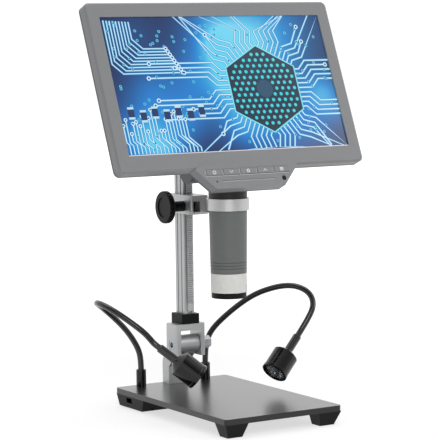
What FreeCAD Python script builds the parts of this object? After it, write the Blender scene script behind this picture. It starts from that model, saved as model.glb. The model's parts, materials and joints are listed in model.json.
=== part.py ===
import FreeCAD, Part
import math
import os
import re
import Sketcher

# Digital microscope with a tilting screen on a rack and pinion stand.
# Millimetres, +Z up. The origin is on the table, under the middle of the base plate.
# -Y is the front, where the user sits, and +X is the user's right.

SIZES = [
    ("plate_width", 117, "base plate, left to right"),
    ("plate_depth", 190, "base plate, front to back"),
    ("plate_thick", 5, "base plate"),
    ("plate_corner", 3, "radius of the plate's upright edges"),
    ("foot_height", 12, "front foot, table to plate"),
    ("foot_width", 22.5, "front foot at the plate"),
    ("foot_depth", 18, "front foot at the plate"),
    ("foot_toe_width", 14.3, "front foot at the table"),
    ("foot_toe_depth", 12.6, "front foot at the table"),
    ("foot_toe_inset", 5, "from the plate's edge to the toe of the foot"),
    ("case_depth", 49, "driver case under the back of the plate, at the plate"),
    ("case_slope", 2, "inset of the case's floor from its rim, at the sides and back"),
    ("case_front_slope", 5.5, "inset of the case's floor from its rim, at the front"),
    ("case_screw_side", 13, "case screws from the plate's side"),
    ("case_screw_front", 8.5, "front case screws from the case's front"),
    ("case_screw_back", 9, "rear case screws from the case's back"),
    ("rim_margin", 0.5, "driver case inside the plate's outline"),
    ("foot_margin", 0.3, "front foot inside the plate's outline"),
    ("foot_well", 5, "depth of the screw well in a front foot"),
    ("case_well", 3, "depth of a screw well in the driver case"),
    ("case_wall", 1.8, "driver case wall"),
    ("pad_height", 1, "rubber pads under the driver case"),
    ("pad_length", 14, "rubber pads"),
    ("pad_width", 9, "rubber pads"),
    ("pad_offset", 34, "rubber pads from the middle"),
    ("board_thick", 1.6, "every circuit board"),
    ("driver_board_length", 56, "lamp driver board"),
    ("driver_board_width", 16, "lamp driver board"),
    ("driver_board_lift", 1.5, "standoffs of the lamp driver board"),
    ("power_width", 9, "power socket"),
    ("power_height", 4, "power socket"),
    ("power_length", 9, "power socket"),
    ("power_from_back", 22.5, "middle of the power socket from the plate's back edge"),
    ("screw_radius", 1.5, "M3 screws"),
    ("screw_head", 2.7, "radius of an M3 pan head"),
    ("screw_head_height", 1.8, "M3 pan head"),
    ("bore_gap", 0.1, "radial clearance round a fixed screw or pin"),
    ("running_gap", 0.05, "radial clearance of a turning shaft"),
    ("slide_gap", 0.3, "clearance between sliding or turning pieces"),
    ("pivot_from_back", 27, "mast pivot from the plate's back edge"),
    ("pivot_height", 38, "mast pivot above the plate"),
    ("knuckle_radius", 8.5, "bracket round the mast pivot"),
    ("bracket_width", 20, "hinge bracket, left to right"),
    ("bracket_depth", 11.5, "upright of the hinge bracket"),
    ("bracket_from_back", 13, "front of the bracket's upright from the plate's back edge"),
    ("bracket_height", 26, "upright of the hinge bracket"),
    ("bracket_round", 7, "round of the upright's top"),
    ("web_thick", 12, "web from the upright to the knuckle"),
    ("bolt_radius", 3, "pivot bolt"),
    ("bolt_head_radius", 4.8, "pivot bolt head"),
    ("bolt_head_height", 3, "pivot bolt head"),
    ("bolt_socket", 2.5, "hexagon socket of the pivot bolt"),
    ("nut_radius", 5.8, "corner radius of the pivot nut"),
    ("nut_height", 8, "pivot nut"),
    ("washer_radius", 6, "washer under the pivot nut"),
    ("washer_thick", 1.2, "washer under the pivot nut"),
    ("fork_width", 30, "fork, left to right"),
    ("fork_arm", 4.6, "thickness of each fork arm"),
    ("fork_depth", 19, "fork, front to back"),
    ("fork_drop", 10.3, "fork below the pivot"),
    ("fork_rise", 19.4, "fork above the pivot"),
    ("fork_bridge", 6, "bridge over the fork"),
    ("collar_width", 18, "foot collar of the mast"),
    ("collar_depth", 20.6, "foot collar of the mast"),
    ("collar_height", 9, "foot collar of the mast"),
    ("mast_width", 10, "mast extrusion"),
    ("mast_depth", 16, "mast extrusion"),
    ("mast_setback", 8, "front face of the mast before the pivot"),
    ("mast_length", 157, "mast from the fork to its top"),
    ("mast_groove", 1.5, "width of the mast's grooves"),
    ("groove_depth", 0.8, "depth of the mast's grooves"),
    ("mast_bore", 2.1, "screw bore along the mast"),
    ("cap_thick", 3, "mast cap"),
    ("cap_brim", 0.6, "mast cap beyond the mast"),
    ("rack_width", 5.5, "rack"),
    ("rack_proud", 3, "rack in front of the mast"),
    ("rack_seat", 1.6, "depth of the rack's slot in the mast"),
    ("rack_start", 19, "rack above the fork"),
    ("rack_length", 130, "rack"),
    ("gear_module", 0.6, "rack and pinion"),
    ("gear_teeth", 12, "pinion"),
    ("gear_backlash", 0.12, "pinion drawn back from full mesh"),
    ("stop_height", 7, "stop block under the rack"),
    ("stop_inset", 0.6, "front of the stop block behind the tips of the rack"),
    ("slider_width", 18, "carriage, left to right"),
    ("slider_height", 17, "carriage"),
    ("lane_gap", 0.7, "carriage from the rack"),
    ("slider_reach", 20, "front of the carriage before the mast"),
    ("slider_wall", 3.4, "carriage behind the mast"),
    ("slider_lift", 175, "underside of the carriage above the table"),
    ("window_width", 7, "window in the front of the carriage"),
    ("window_left", -6.6, "left edge of the window"),
    ("window_height", 9.6, "window in the front of the carriage"),
    ("boss_radius", 4.6, "black bush of the focus shaft beside the carriage"),
    ("boss_length", 8.2, "black bush of the focus shaft beside the carriage"),
    ("shaft_radius", 2, "focus shaft"),
    ("bush_radius", 3, "bushes of the focus shaft in the carriage"),
    ("shaft_right", 13, "right end of the focus shaft"),
    ("shaft_drop", 1.5, "focus shaft below the middle of the carriage"),
    ("knob_radius", 14.5, "focus knob"),
    ("knob_thick", 5.5, "focus knob"),
    ("knob_gap", 7.3, "focus knob from its boss"),
    ("hub_radius", 5, "hub of the focus knob"),
    ("knob_web", 1.6, "wall of the knob in front of the shaft"),
    ("knob_flute", 1.1, "radius of the knob's grip flutes"),
    ("knob_flutes", 24, "count of the knob's grip flutes"),
    ("arm_left", 4, "left face of the ring's arm"),
    ("arm_width", 8, "ring's arm"),
    ("arm_inset", 2, "ring's arm inside the height of the carriage"),
    ("lap_thick", 2.6, "lap of the arm on the carriage's side"),
    ("lap_length", 8, "lap of the arm on the carriage's side"),
    ("lap_bite", 4, "arm screws inside the carriage"),
    ("ring_radius", 18.6, "tube ring, outside"),
    ("ring_height", 10.3, "tube ring"),
    ("ring_boss_radius", 4, "boss of the ring's set screw"),
    ("ring_boss_proud", 3, "boss of the ring's set screw behind the ring"),
    ("ring_screw_offset", -1, "set screw of the ring from the middle"),
    ("ring_rise", 7.6, "underside of the tube ring above that of the carriage"),
    ("tube_reach", 68, "axis of the microscope tube before the mast"),
    ("neck_radius", 16.9, "black neck of the tube above the ring"),
    ("neck_seat_radius", 16.5, "neck of the tube inside the ring"),
    ("neck_rise", 8.1, "foot of the flare above the tube ring"),
    ("flare_radius", 21.5, "top of the flare"),
    ("flare_height", 6.6, "flare under the hinge drum"),
    ("barrel_radius", 13.8, "inner barrel"),
    ("barrel_bore", 12.2, "bore of the inner barrel"),
    ("barrel_rise", 4, "roof of the barrel above the foot of the flare"),
    ("sleeve_top_radius", 16.7, "focus sleeve at its top"),
    ("sleeve_foot_radius", 15.9, "focus sleeve at its foot"),
    ("sleeve_length", 54.6, "focus sleeve"),
    ("grip_groove", 0.5, "depth of the sleeve's three fine grooves"),
    ("grip_groove_width", 0.7, "each fine groove of the sleeve"),
    ("grip_groove_pitch", 2.6, "fine grooves of the sleeve, one to the next"),
    ("grip_groove_lift", 4, "lowest fine groove above the sleeve's foot"),
    ("diffuser_radius", 15.9, "milky light ring"),
    ("diffuser_height", 16.6, "milky light ring"),
    ("end_radius", 15.4, "black end ring"),
    ("end_height", 5, "black end ring"),
    ("end_bore", 9, "opening of the end ring"),
    ("carrier_length", 22, "lens carrier"),
    ("carrier_lift", 24, "lens carrier above the milky ring's foot"),
    ("carrier_bore", 8, "bore of the lens carrier"),
    ("lens_radius", 9.5, "objective lens"),
    ("lens_thick", 4, "objective lens"),
    ("sensor_side", 16, "camera board"),
    ("drum_setback", 3.5, "hinge drum axis behind that of the tube"),
    ("drum_rise", 16.5, "hinge drum axis above the foot of the flare"),
    ("drum_radius", 10.5, "hinge drum"),
    ("drum_length", 60, "hinge drum"),
    ("drum_bore", 7.5, "hollow of the hinge drum"),
    ("drum_wall", 3, "end wall of the hinge drum"),
    ("saddle_width", 28, "saddle between the flare and the drum"),
    ("saddle_front", 9, "front of the saddle before the tube's axis"),
    ("ear_thick", 9.6, "hinge ears of the screen"),
    ("pin_radius", 3, "hinge pins of the screen"),
    ("pin_length", 5, "hinge pins of the screen inside the drum"),
    ("screen_lean", 22.73, "lean of the screen from upright, degrees"),
    ("screen_forward", 4.85, "middle of the picture before the hinge drum axis"),
    ("screen_rise", 75.57, "middle of the picture above the hinge drum axis"),
    ("picture_width", 222.7, "picture"),
    ("picture_height", 125.3, "picture"),
    ("bezel_side", 12.2, "bezel beside the picture"),
    ("bezel_top", 13.4, "bezel over the picture"),
    ("bezel_foot", 15, "bezel under the picture"),
    ("bezel_depth", 8.8, "bezel, front to back"),
    ("bezel_skin", 1.5, "front wall of the bezel"),
    ("bezel_wall", 2, "side walls of the bezel"),
    ("bezel_corner", 5, "corner radius of the bezel"),
    ("bezel_chamfer", 1.6, "chamfer round the front of the bezel"),
    ("chin_width", 104, "chin where it leaves the bezel"),
    ("chin_brow_width", 88, "chin at its top edge"),
    ("chin_brow", 5.2, "top edge of the chin above the bezel's foot"),
    ("chin_proud", 0.6, "chin in front of the bezel"),
    ("chin_toe_width", 69, "chin at its foot"),
    ("chin_drop", 18.35, "chin below the bezel"),
    ("panel_margin", 1.8, "screen panel round the picture"),
    ("panel_thick", 5, "screen panel"),
    ("cover_skin", 2.2, "rear cover"),
    ("bulge_depth", 10, "bulge of the rear cover behind its flange"),
    ("bulge_width", 180, "bulge of the rear cover"),
    ("bulge_top", 30, "top of the bulge above the middle of the picture"),
    ("bulge_foot", 71, "foot of the bulge below the middle of the picture"),
    ("bulge_slope", 8, "inset of the bulge's back from its foot"),
    ("main_board_width", 130, "main board"),
    ("main_board_height", 72, "main board"),
    ("main_board_drop", 22, "middle of the main board below the picture's"),
    ("button_pitch", 17, "buttons"),
    ("button_space", 1.8, "between neighbouring buttons"),
    ("button_height", 5.4, "button"),
    ("button_proud", 0.8, "button in front of the bezel"),
    ("button_fall", 3.65, "middle of the buttons below the bezel's foot"),
    ("button_gap", 0.25, "clearance round a button"),
    ("button_stem", 3.2, "button behind the bezel's front wall"),
    ("button_travel", 0.5, "travel of a button"),
    ("rib_width", 0.9, "ribs between the buttons"),
    ("rib_height", 8, "ribs between the buttons"),
    ("groove_length", 54, "groove along the chin"),
    ("groove_height", 1.3, "groove along the chin"),
    ("cover_screw_inset", 6.5, "screws of the rear cover from the bezel's edges"),
    ("screw_post", 3, "radius of the posts for the cover screws"),
    ("key_board_width", 80, "key board"),
    ("key_board_height", 8, "key board"),
    ("window_fall", 11.75, "status light and receiver window below the bezel's foot"),
    ("light_offset", 32.8, "status light to the left of the middle"),
    ("light_radius", 0.9, "status light"),
    ("receiver_offset", 35.1, "receiver window to the right of the middle"),
    ("receiver_radius", 2.2, "receiver window"),
    ("socket_offset", 34, "lamp sockets from the middle of the pair"),
    ("socket_shift", -2, "middle of the pair of lamp sockets"),
    ("socket_from_back", 7.5, "lamp sockets from the plate's back edge"),
    ("socket_radius", 4.5, "lamp socket"),
    ("socket_height", 15.5, "lamp socket"),
    ("stem_radius", 3, "threaded stem of a lamp socket"),
    ("socket_nut_radius", 4.2, "nut of a lamp socket"),
    ("socket_nut_height", 2.6, "nut of a lamp socket"),
    ("neck_tube_radius", 2.75, "goosenecks"),
    ("neck_tube_entry", 8, "gooseneck inside its socket"),
    ("grip_entry", 6, "gooseneck inside the lamp's collar"),
    ("wire_radius", 1.2, "wire holes of the lamps"),
    ("lamp_radius", 11.5, "lamp head"),
    ("lamp_length", 26, "lamp head"),
    ("lamp_shoulder", 5, "cone at the back of a lamp head"),
    ("lamp_wall", 1.4, "lamp head wall"),
    ("lamp_recess", 2, "lens behind the lamp's rim"),
    ("lamp_lens_thick", 2, "lamp lens"),
    ("lamp_cavity", 12, "lamp cavity behind the lens"),
    ("grip_radius", 3.8, "collar between gooseneck and lamp"),
    ("grip_length", 17.5, "collar between gooseneck and lamp"),
]

# Goosenecks and lamps are set out from the middle of the plate's back edge, at the height of its top.
# Goosenecks: centreline points from the socket's bore to the run into the lamp's collar.
# Lamps: middle of the front rim, and the direction from there back along the lamp.
RIGHT_NECK = [
    (32, -7.5, 7.5), (32, -7.5, 29), (36, -9, 44), (44.5, -17, 57), (59, -33, 74), (66.1, -43, 81.5),
    (73.4, -52, 84.8), (80, -62, 88.6), (85.7, -72, 91), (92.3, -84, 88.3), (95.2, -92, 82.8),
    (93.7, -98, 75.7),
    (89, -101, 68.6),
]
LEFT_NECK = [
    (-36, -7.5, 7.5), (-36, -7.5, 24), (-37.4, -6.5, 33.3), (-43, -6, 44.4), (-51.3, -6, 55),
    (-61.4, -6, 64.2),
    (-72.4, -8, 72.9), (-83.5, -15, 80.4), (-91.8, -25, 83.1), (-94.7, -37, 84.3), (-93.2, -47, 83.4),
    (-84, -57, 75.5),
    (-75.9, -66, 67.3), (-67.9, -75, 58.8),
]
RIGHT_LAMP = ((40.8, -111, 18.6), (0.712, 0.198, 0.673))
LEFT_LAMP = ((-31.9, -103, 20.7), (-0.687, 0.374, 0.622))

doc = FreeCAD.newDocument("lcd_microscope")
sheet = doc.addObject("Spreadsheet::Sheet", "size")
for row, (alias, value, note) in enumerate(SIZES, 1):
    sheet.set(f"A{row}", note)
    sheet.set(f"B{row}", str(value))
    sheet.setAlias(f"B{row}", alias)
doc.recompute()

ALIASES = {alias for alias, _, _ in SIZES}
WORD = re.compile(r"[a-z][a-z_0-9]*")
TURNS = {
    "x": FreeCAD.Rotation(FreeCAD.Vector(0, 1, 0), 90),
    "y": FreeCAD.Rotation(FreeCAD.Vector(1, 0, 0), -90),
    "z": FreeCAD.Rotation(),
}
nodes = []


def size(alias):
    """Value of one cell of the sheet, in millimetres."""
    return float(sheet.get(alias))


def cells(text):
    """An expression with every alias pointed at the sheet."""
    return WORD.sub(lambda m: "size." + m.group(0) if m.group(0) in ALIASES else m.group(0), str(text))


def bind(item, **sizes):
    """Tie properties of an object to expressions in the sheet's aliases."""
    for name, text in sizes.items():
        item.setExpression(name, cells(text))
    return item


def seat(item, x, y, z):
    """Tie the place of an object to expressions."""
    for name, text in (("x", x), ("y", y), ("z", z)):
        item.setExpression(f"Placement.Base.{name}", cells(text))
    return item


def box(name, x, y, z):
    """Block between two limits on each axis."""
    item = doc.addObject("Part::Box", name)
    bind(item, Length=f"({x[1]}) - ({x[0]})", Width=f"({y[1]}) - ({y[0]})", Height=f"({z[1]}) - ({z[0]})")
    return seat(item, x[0], y[0], z[0])


def along(item, axis, place, start):
    """Turn an upright primitive to an axis and seat its foot at start on that axis."""
    item.Placement = FreeCAD.Placement(FreeCAD.Vector(), TURNS[axis])
    first, second = place
    spots = {"x": (start, first, second), "y": (first, start, second), "z": (first, second, start)}
    return seat(item, *spots[axis])


def rod(name, axis, place, span, radius):
    """Cylinder along an axis; place gives its other two coordinates."""
    item = doc.addObject("Part::Cylinder", name)
    bind(item, Radius=radius, Height=f"({span[1]}) - ({span[0]})")
    return along(item, axis, place, span[0])


def cone(name, axis, place, span, start_radius, end_radius):
    """Cone along an axis."""
    item = doc.addObject("Part::Cone", name)
    bind(item, Radius1=start_radius, Radius2=end_radius, Height=f"({span[1]}) - ({span[0]})")
    return along(item, axis, place, span[0])


def prism(name, axis, place, span, radius, sides=6):
    """Hexagon or other even bar along an axis, with its corner radius."""
    item = doc.addObject("Part::Prism", name)
    item.Polygon = sides
    bind(item, Circumradius=radius, Height=f"({span[1]}) - ({span[0]})")
    return along(item, axis, place, span[0])


def frustum(name, z, low, high):
    """Four-sided block whose foot at z[0] spans low and whose top at z[1] spans high, each (x0, x1, y0, y1)."""
    item = doc.addObject("Part::Wedge", name)
    item.Placement = FreeCAD.Placement(FreeCAD.Vector(), FreeCAD.Rotation(FreeCAD.Vector(1, 0, 0), 90))
    limits = {
        "Ymin": z[0], "Ymax": z[1],
        "Xmin": low[0], "Xmax": low[1], "Zmin": f"-({low[3]})", "Zmax": f"-({low[2]})",
        "X2min": high[0], "X2max": high[1], "Z2min": f"-({high[3]})", "Z2max": f"-({high[2]})",
    }
    for name_, text in limits.items():
        item.setExpression(name_, cells(text))
    return item


def fuse(name, *pieces):
    """Union."""
    item = doc.addObject("Part::MultiFuse", name)
    item.Shapes = list(pieces)
    item.Refine = True
    return item


def group(name, *pieces):
    """Separate solids under one name."""
    item = doc.addObject("Part::Compound", name)
    item.Links = list(pieces)
    return item


def cut(name, base, *tools):
    """A piece with others taken away."""
    item = doc.addObject("Part::Cut", name)
    item.Base = base
    item.Tool = tools[0] if len(tools) == 1 else fuse(name + "_tools", *tools)
    item.Refine = True
    return item


def round_edges(name, base, radius, chosen, kind="Part::Fillet"):
    """Fillet or chamfer the edges that the test picks out."""
    doc.recompute()
    edges = [n for n, edge in enumerate(base.Shape.Edges, 1) if chosen(edge)]
    item = doc.addObject(kind, name)
    item.Base = base
    item.Edges = [(n, radius, radius) for n in edges]
    return item


def is_along(edge, axis):
    """True for a straight edge along X, Y or Z."""
    if not isinstance(edge.Curve, Part.Line):
        return False
    return abs(abs(edge.Curve.Direction[axis]) - 1) < 1e-6


def node(item, label):
    """Name a finished sub-part."""
    item.Label = label
    nodes.append(item)
    return item


def feature(name, shape, place=None):
    """Sub-part whose shape comes straight from Part's own functions."""
    item = doc.addObject("Part::Feature", name)
    item.Shape = shape
    if place is not None:
        item.Placement = place
    return item


# Heights and faces that several pieces share.
PLATE_TOP = "(foot_height + plate_thick)"
PIVOT = f"({PLATE_TOP} + pivot_height)"
PIVOT_Y = "(plate_depth / 2 - pivot_from_back)"
MAST_FRONT = f"({PIVOT_Y} - mast_setback)"
FORK_TOP = f"({PIVOT} + fork_rise)"
MAST_BACK = f"({MAST_FRONT} + mast_depth)"
MAST_MIDDLE = f"({MAST_FRONT} + mast_depth / 2)"
SLIDER_FRONT = f"({MAST_FRONT} - slider_reach)"
SLIDER_BACK = f"({MAST_BACK} + slider_wall)"
TUBE_Y = f"({MAST_FRONT} - tube_reach)"
DRUM_Y = f"({TUBE_Y} + drum_setback)"
SCREEN_Y = f"({DRUM_Y} - screen_forward)"
MAST_TOP = f"({FORK_TOP} + mast_length)"
PITCH_RADIUS = "(gear_module * gear_teeth / 2)"
SHAFT_FRONT = f"({MAST_FRONT} - rack_proud + gear_module - {PITCH_RADIUS} - gear_backlash)"
SHAFT_LIFT = "(slider_lift + slider_height / 2 - shaft_drop)"
CASE_BACK = "(plate_depth / 2 - rim_margin)"
CASE_FRONT = "(plate_depth / 2 - rim_margin - case_depth)"
CASE_SIDE = "(plate_width / 2 - rim_margin)"
BRACKET_FRONT = "(plate_depth / 2 - bracket_from_back)"
SOCKET_BACK = "(plate_depth / 2 - socket_from_back)"
RING_LIFT = "(slider_lift + ring_rise)"
RING_TOP = f"({RING_LIFT} + ring_height)"
NECK_TOP = f"({RING_TOP} + neck_rise)"
DRUM_HEIGHT = f"({NECK_TOP} + drum_rise)"
SCREEN_MIDDLE = f"({DRUM_HEIGHT} + screen_rise)"
CASE_FLOOR = "(pad_height + case_wall)"
SIDES = {"left": "-1", "right": "1"}
SOCKET_SPOTS = {side: (f"{sign} * socket_offset + socket_shift", SOCKET_BACK) for side, sign in SIDES.items()}


# Base plate
def build_base_plate():
    sketch_body = doc.addObject("PartDesign::Body", "plate_body")
    sketch = sketch_body.newObject("Sketcher::SketchObject", "plate_outline")
    plane = next(f for f in sketch_body.Origin.OriginFeatures if f.Role == "XY_Plane")
    sketch.AttachmentSupport = (plane, "")
    sketch.MapMode = "FlatFace"
    half_w, half_d = size("plate_width") / 2, size("plate_depth") / 2
    corners = [(-half_w, -half_d), (half_w, -half_d), (half_w, half_d), (-half_w, half_d)]
    for n in range(4):
        start, end = corners[n], corners[(n + 1) % 4]
        sketch.addGeometry(Part.LineSegment(FreeCAD.Vector(*start, 0), FreeCAD.Vector(*end, 0)))
    for n in range(4):
        sketch.addConstraint(Sketcher.Constraint("Coincident", n, 2, (n + 1) % 4, 1))
    for n in (0, 2):
        sketch.addConstraint(Sketcher.Constraint("Horizontal", n))
    for n in (1, 3):
        sketch.addConstraint(Sketcher.Constraint("Vertical", n))
    sketch.addConstraint(Sketcher.Constraint("Symmetric", 0, 1, 1, 2, -1, 1))
    sketch.addConstraint(Sketcher.Constraint("DistanceX", 0, 1, 0, 2, 2 * half_w))
    sketch.renameConstraint(9, "width")
    sketch.addConstraint(Sketcher.Constraint("DistanceY", 1, 1, 1, 2, 2 * half_d))
    sketch.renameConstraint(10, "depth")
    sketch.setExpression("Constraints.width", cells("plate_width"))
    sketch.setExpression("Constraints.depth", cells("plate_depth"))
    sketch.setExpression("AttachmentOffset.Base.z", cells("foot_height"))
    pad = sketch_body.newObject("PartDesign::Pad", "plate_pad")
    pad.Profile = sketch
    bind(pad, Length="plate_thick")
    doc.recompute()
    upright = [f"Edge{n}" for n, e in enumerate(pad.Shape.Edges, 1) if is_along(e, 2)]
    fillet = sketch_body.newObject("PartDesign::Fillet", "plate_corners")
    fillet.Base = (pad, upright)
    bind(fillet, Radius="plate_corner")
    sketch_body.Tip = fillet
    holes = []
    through = ("foot_height - 1", f"{PLATE_TOP} + 1")
    for side, sign in SIDES.items():
        holes.append(rod(f"stem_hole_{side}", "z", SOCKET_SPOTS[side], through,
                         "stem_radius + bore_gap"))
        holes.append(rod(f"bracket_hole_{side}", "z", BRACKET_SCREWS[side], through,
                         "screw_radius + bore_gap"))
        for place, spot in base_screw_places(sign).items():
            holes.append(rod(f"{place}_hole_{side}", "z", spot, ("foot_height - 1", "foot_height + 4"),
                             "screw_radius + bore_gap"))
    return node(cut("base_plate_drilled", sketch_body, *holes), "base_plate")


BRACKET_SCREWS = {
    side: (f"{sign} * bracket_width / 4", f"{BRACKET_FRONT} + bracket_depth / 2") for side,
    sign in SIDES.items()
}


def base_screw_places(sign):
    """Screws from below: one in each front foot and two on each side of the driver case."""
    side = f"{sign} * (plate_width / 2 - foot_toe_inset - foot_toe_width / 2)"
    case_side = f"{sign} * (plate_width / 2 - case_screw_side)"
    return {
        "foot": (side, "-plate_depth / 2 + foot_toe_inset + foot_toe_depth / 2"),
        "case_front": (case_side, f"{CASE_FRONT} + case_screw_front"),
        "case_back": (case_side, f"{CASE_BACK} - case_screw_back"),
    }


# Feet and driver case
def build_feet():
    """Front feet: blocks that narrow to the table, with a sunk screw in each."""
    for side, sign in SIDES.items():
        def span(start, width):
            low, high = f"plate_width / 2 - ({start}) - ({width})", f"plate_width / 2 - ({start})"
            return (low, high) if sign == "1" else (f"-({high})", f"-({low})")
        front = "-plate_depth / 2"
        top = (*span("foot_margin", "foot_width"), f"{front} + foot_margin", f"{front} + foot_depth")
        toe = (*span("foot_toe_inset", "foot_toe_width"), f"{front} + foot_toe_inset",
               f"{front} + foot_toe_inset + foot_toe_depth")
        block = frustum(f"foot_block_{side}", ("0", "foot_height"), toe, top)
        spot = base_screw_places(sign)["foot"]
        hole = rod(f"foot_bore_{side}", "z", spot, ("-1", "foot_height + 1"), "screw_radius + bore_gap")
        well = rod(f"foot_well_{side}", "z", spot, ("-1", "foot_well"), "screw_head + slide_gap")
        node(cut(f"foot_{side}", block, hole, well), f"front_foot_{side}")


def build_driver_case():
    """Shallow tray under the back of the plate, with the lamp driver board and its power socket."""
    low_side = f"({CASE_SIDE} - case_slope)"
    top = (f"-{CASE_SIDE}", CASE_SIDE, CASE_FRONT, CASE_BACK)
    low = (f"-{low_side}", low_side, f"{CASE_FRONT} + case_front_slope", f"{CASE_BACK} - case_slope")
    outside = frustum("case_outside", ("pad_height", "foot_height"), low, top)
    wall = "case_wall"

    def inset(limits):
        return (f"{limits[0]} + {wall}", f"{limits[1]} - {wall}", f"{limits[2]} + {wall}",
                f"{limits[3]} - {wall}")
    inside = frustum("case_inside", (CASE_FLOOR, "foot_height + 0.01"), inset(low), inset(top))
    bosses, holes = [], []
    for side, sign in SIDES.items():
        for place, spot in base_screw_places(sign).items():
            if place == "foot":
                continue
            bosses.append(rod(f"{place}_boss_{side}", "z", spot, ("pad_height + 0.2", "foot_height"),
                              "screw_head + 1.6"))
            holes.append(rod(f"{place}_bore_{side}", "z", spot, ("0", "foot_height + 1"),
                             "screw_radius + bore_gap"))
            holes.append(rod(f"{place}_well_{side}", "z", spot, ("0", "pad_height + case_well"),
                             "screw_head + slide_gap"))
    posts = []
    for n, (x, y) in enumerate(BOARD_POSTS):
        posts.append(rod(f"board_post_{n}", "z", (x, y),
                         ("pad_height + 0.2", f"{CASE_FLOOR} + driver_board_lift"),
                         "2"))
    mouth = box("power_mouth", (f"-{CASE_SIDE} - 1", f"-{CASE_SIDE} + case_slope + case_wall + 0.6"),
                (f"{POWER_Y} - power_width / 2 - 0.4", f"{POWER_Y} + power_width / 2 + 0.4"),
                (f"{BOARD_TOP} - 0.2", f"{BOARD_TOP} + power_height + 0.4"))
    tray = fuse("case_tray", cut("case_shell", outside, inside), *bosses, *posts)
    node(cut("case_cut", tray, *holes, mouth), "driver_case")
    pads = [box(f"pad_{side}", *pad_limits(sign)) for side, sign in SIDES.items()]
    node(group("pads", *pads), "rear_pads")
    board = box("driver_board", (f"{BOARD_LEFT}", f"{BOARD_LEFT} + driver_board_length"),
                (f"{POWER_Y} - driver_board_width / 2", f"{POWER_Y} + driver_board_width / 2"),
                (f"{CASE_FLOOR} + driver_board_lift", BOARD_TOP))
    coil = rod("driver_coil", "z", (f"{BOARD_LEFT} + 22", POWER_Y),
               (f"{BOARD_TOP} - 0.1", f"{BOARD_TOP} + 3"),
               "4")
    chip = box("driver_chip", (f"{BOARD_LEFT} + 32", f"{BOARD_LEFT} + 39"),
               (f"{POWER_Y} - 3", f"{POWER_Y} + 4"),
               (f"{BOARD_TOP} - 0.1", f"{BOARD_TOP} + 1.4"))
    node(fuse("driver_board_made", board, coil, chip), "lamp_driver_board")
    shell = box("power_shell", (BOARD_LEFT, f"{BOARD_LEFT} + power_length"),
                (f"{POWER_Y} - power_width / 2", f"{POWER_Y} + power_width / 2"),
                (BOARD_TOP, f"{BOARD_TOP} + power_height"))
    hollow = box("power_hollow", (f"{BOARD_LEFT} - 1", f"{BOARD_LEFT} + power_length - 1"),
                 (f"{POWER_Y} - power_width / 2 + 0.5", f"{POWER_Y} + power_width / 2 - 0.5"),
                 (f"{BOARD_TOP} + 0.5", f"{BOARD_TOP} + power_height - 0.5"))
    tongue = box("power_tongue", (f"{BOARD_LEFT} + 1", f"{BOARD_LEFT} + power_length - 0.5"),
                 (f"{POWER_Y} - power_width / 2 + 1.6", f"{POWER_Y} + power_width / 2 - 1.6"),
                 (f"{BOARD_TOP} + power_height / 2 - 0.35", f"{BOARD_TOP} + power_height / 2 + 0.35"))
    node(fuse("power_made", cut("power_can", shell, hollow), tongue), "power_socket")


def pad_limits(sign):
    middle_y = f"({CASE_BACK} - case_front_slope - 3 - pad_width / 2)"
    return ((f"{sign} * pad_offset - pad_length / 2", f"{sign} * pad_offset + pad_length / 2"),
            (f"{middle_y} - pad_width / 2", f"{middle_y} + pad_width / 2"), ("0", "pad_height"))


POWER_Y = "(plate_depth / 2 - power_from_back)"
BOARD_TOP = f"({CASE_FLOOR} + driver_board_lift + board_thick)"
BOARD_LEFT = f"(-{CASE_SIDE} + case_slope + case_wall + 1)"
BOARD_POSTS = [
    (f"{BOARD_LEFT} + {dx}", f"{POWER_Y} + {sign} * (driver_board_width / 2 - 3)")
    for dx in ("12", "driver_board_length - 4") for sign in ("-1", "1")
]


def pan_screw(name, spot, seat_height, reach):
    """Screw from below: pan head under seat_height, shank up to reach."""
    head = rod(f"{name}_head", "z", spot, (f"{seat_height} - screw_head_height", seat_height), "screw_head")
    shank = rod(f"{name}_shank", "z", spot, (f"{seat_height} - 0.5", reach), "screw_radius")
    recess = prism(f"{name}_recess", "z", spot,
                   (f"{seat_height} - screw_head_height - 0.1", f"{seat_height} - 0.6"), "1.2")
    return cut(name, fuse(f"{name}_body", head, shank), recess)


def build_base_screws():
    screws = []
    for side, sign in SIDES.items():
        for place, spot in base_screw_places(sign).items():
            seat_height = "foot_well" if place == "foot" else "pad_height + case_well"
            screws.append(pan_screw(f"{place}_screw_{side}", spot, seat_height, "foot_height + 3.6"))
    node(group("base_screws", *screws), "base_screws")
    bracket = [pan_screw(f"bracket_screw_{side}", spot, "foot_height", f"{PLATE_TOP} + 8")
               for side, spot in BRACKET_SCREWS.items()]
    node(group("bracket_screws", *bracket), "bracket_screws")


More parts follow.
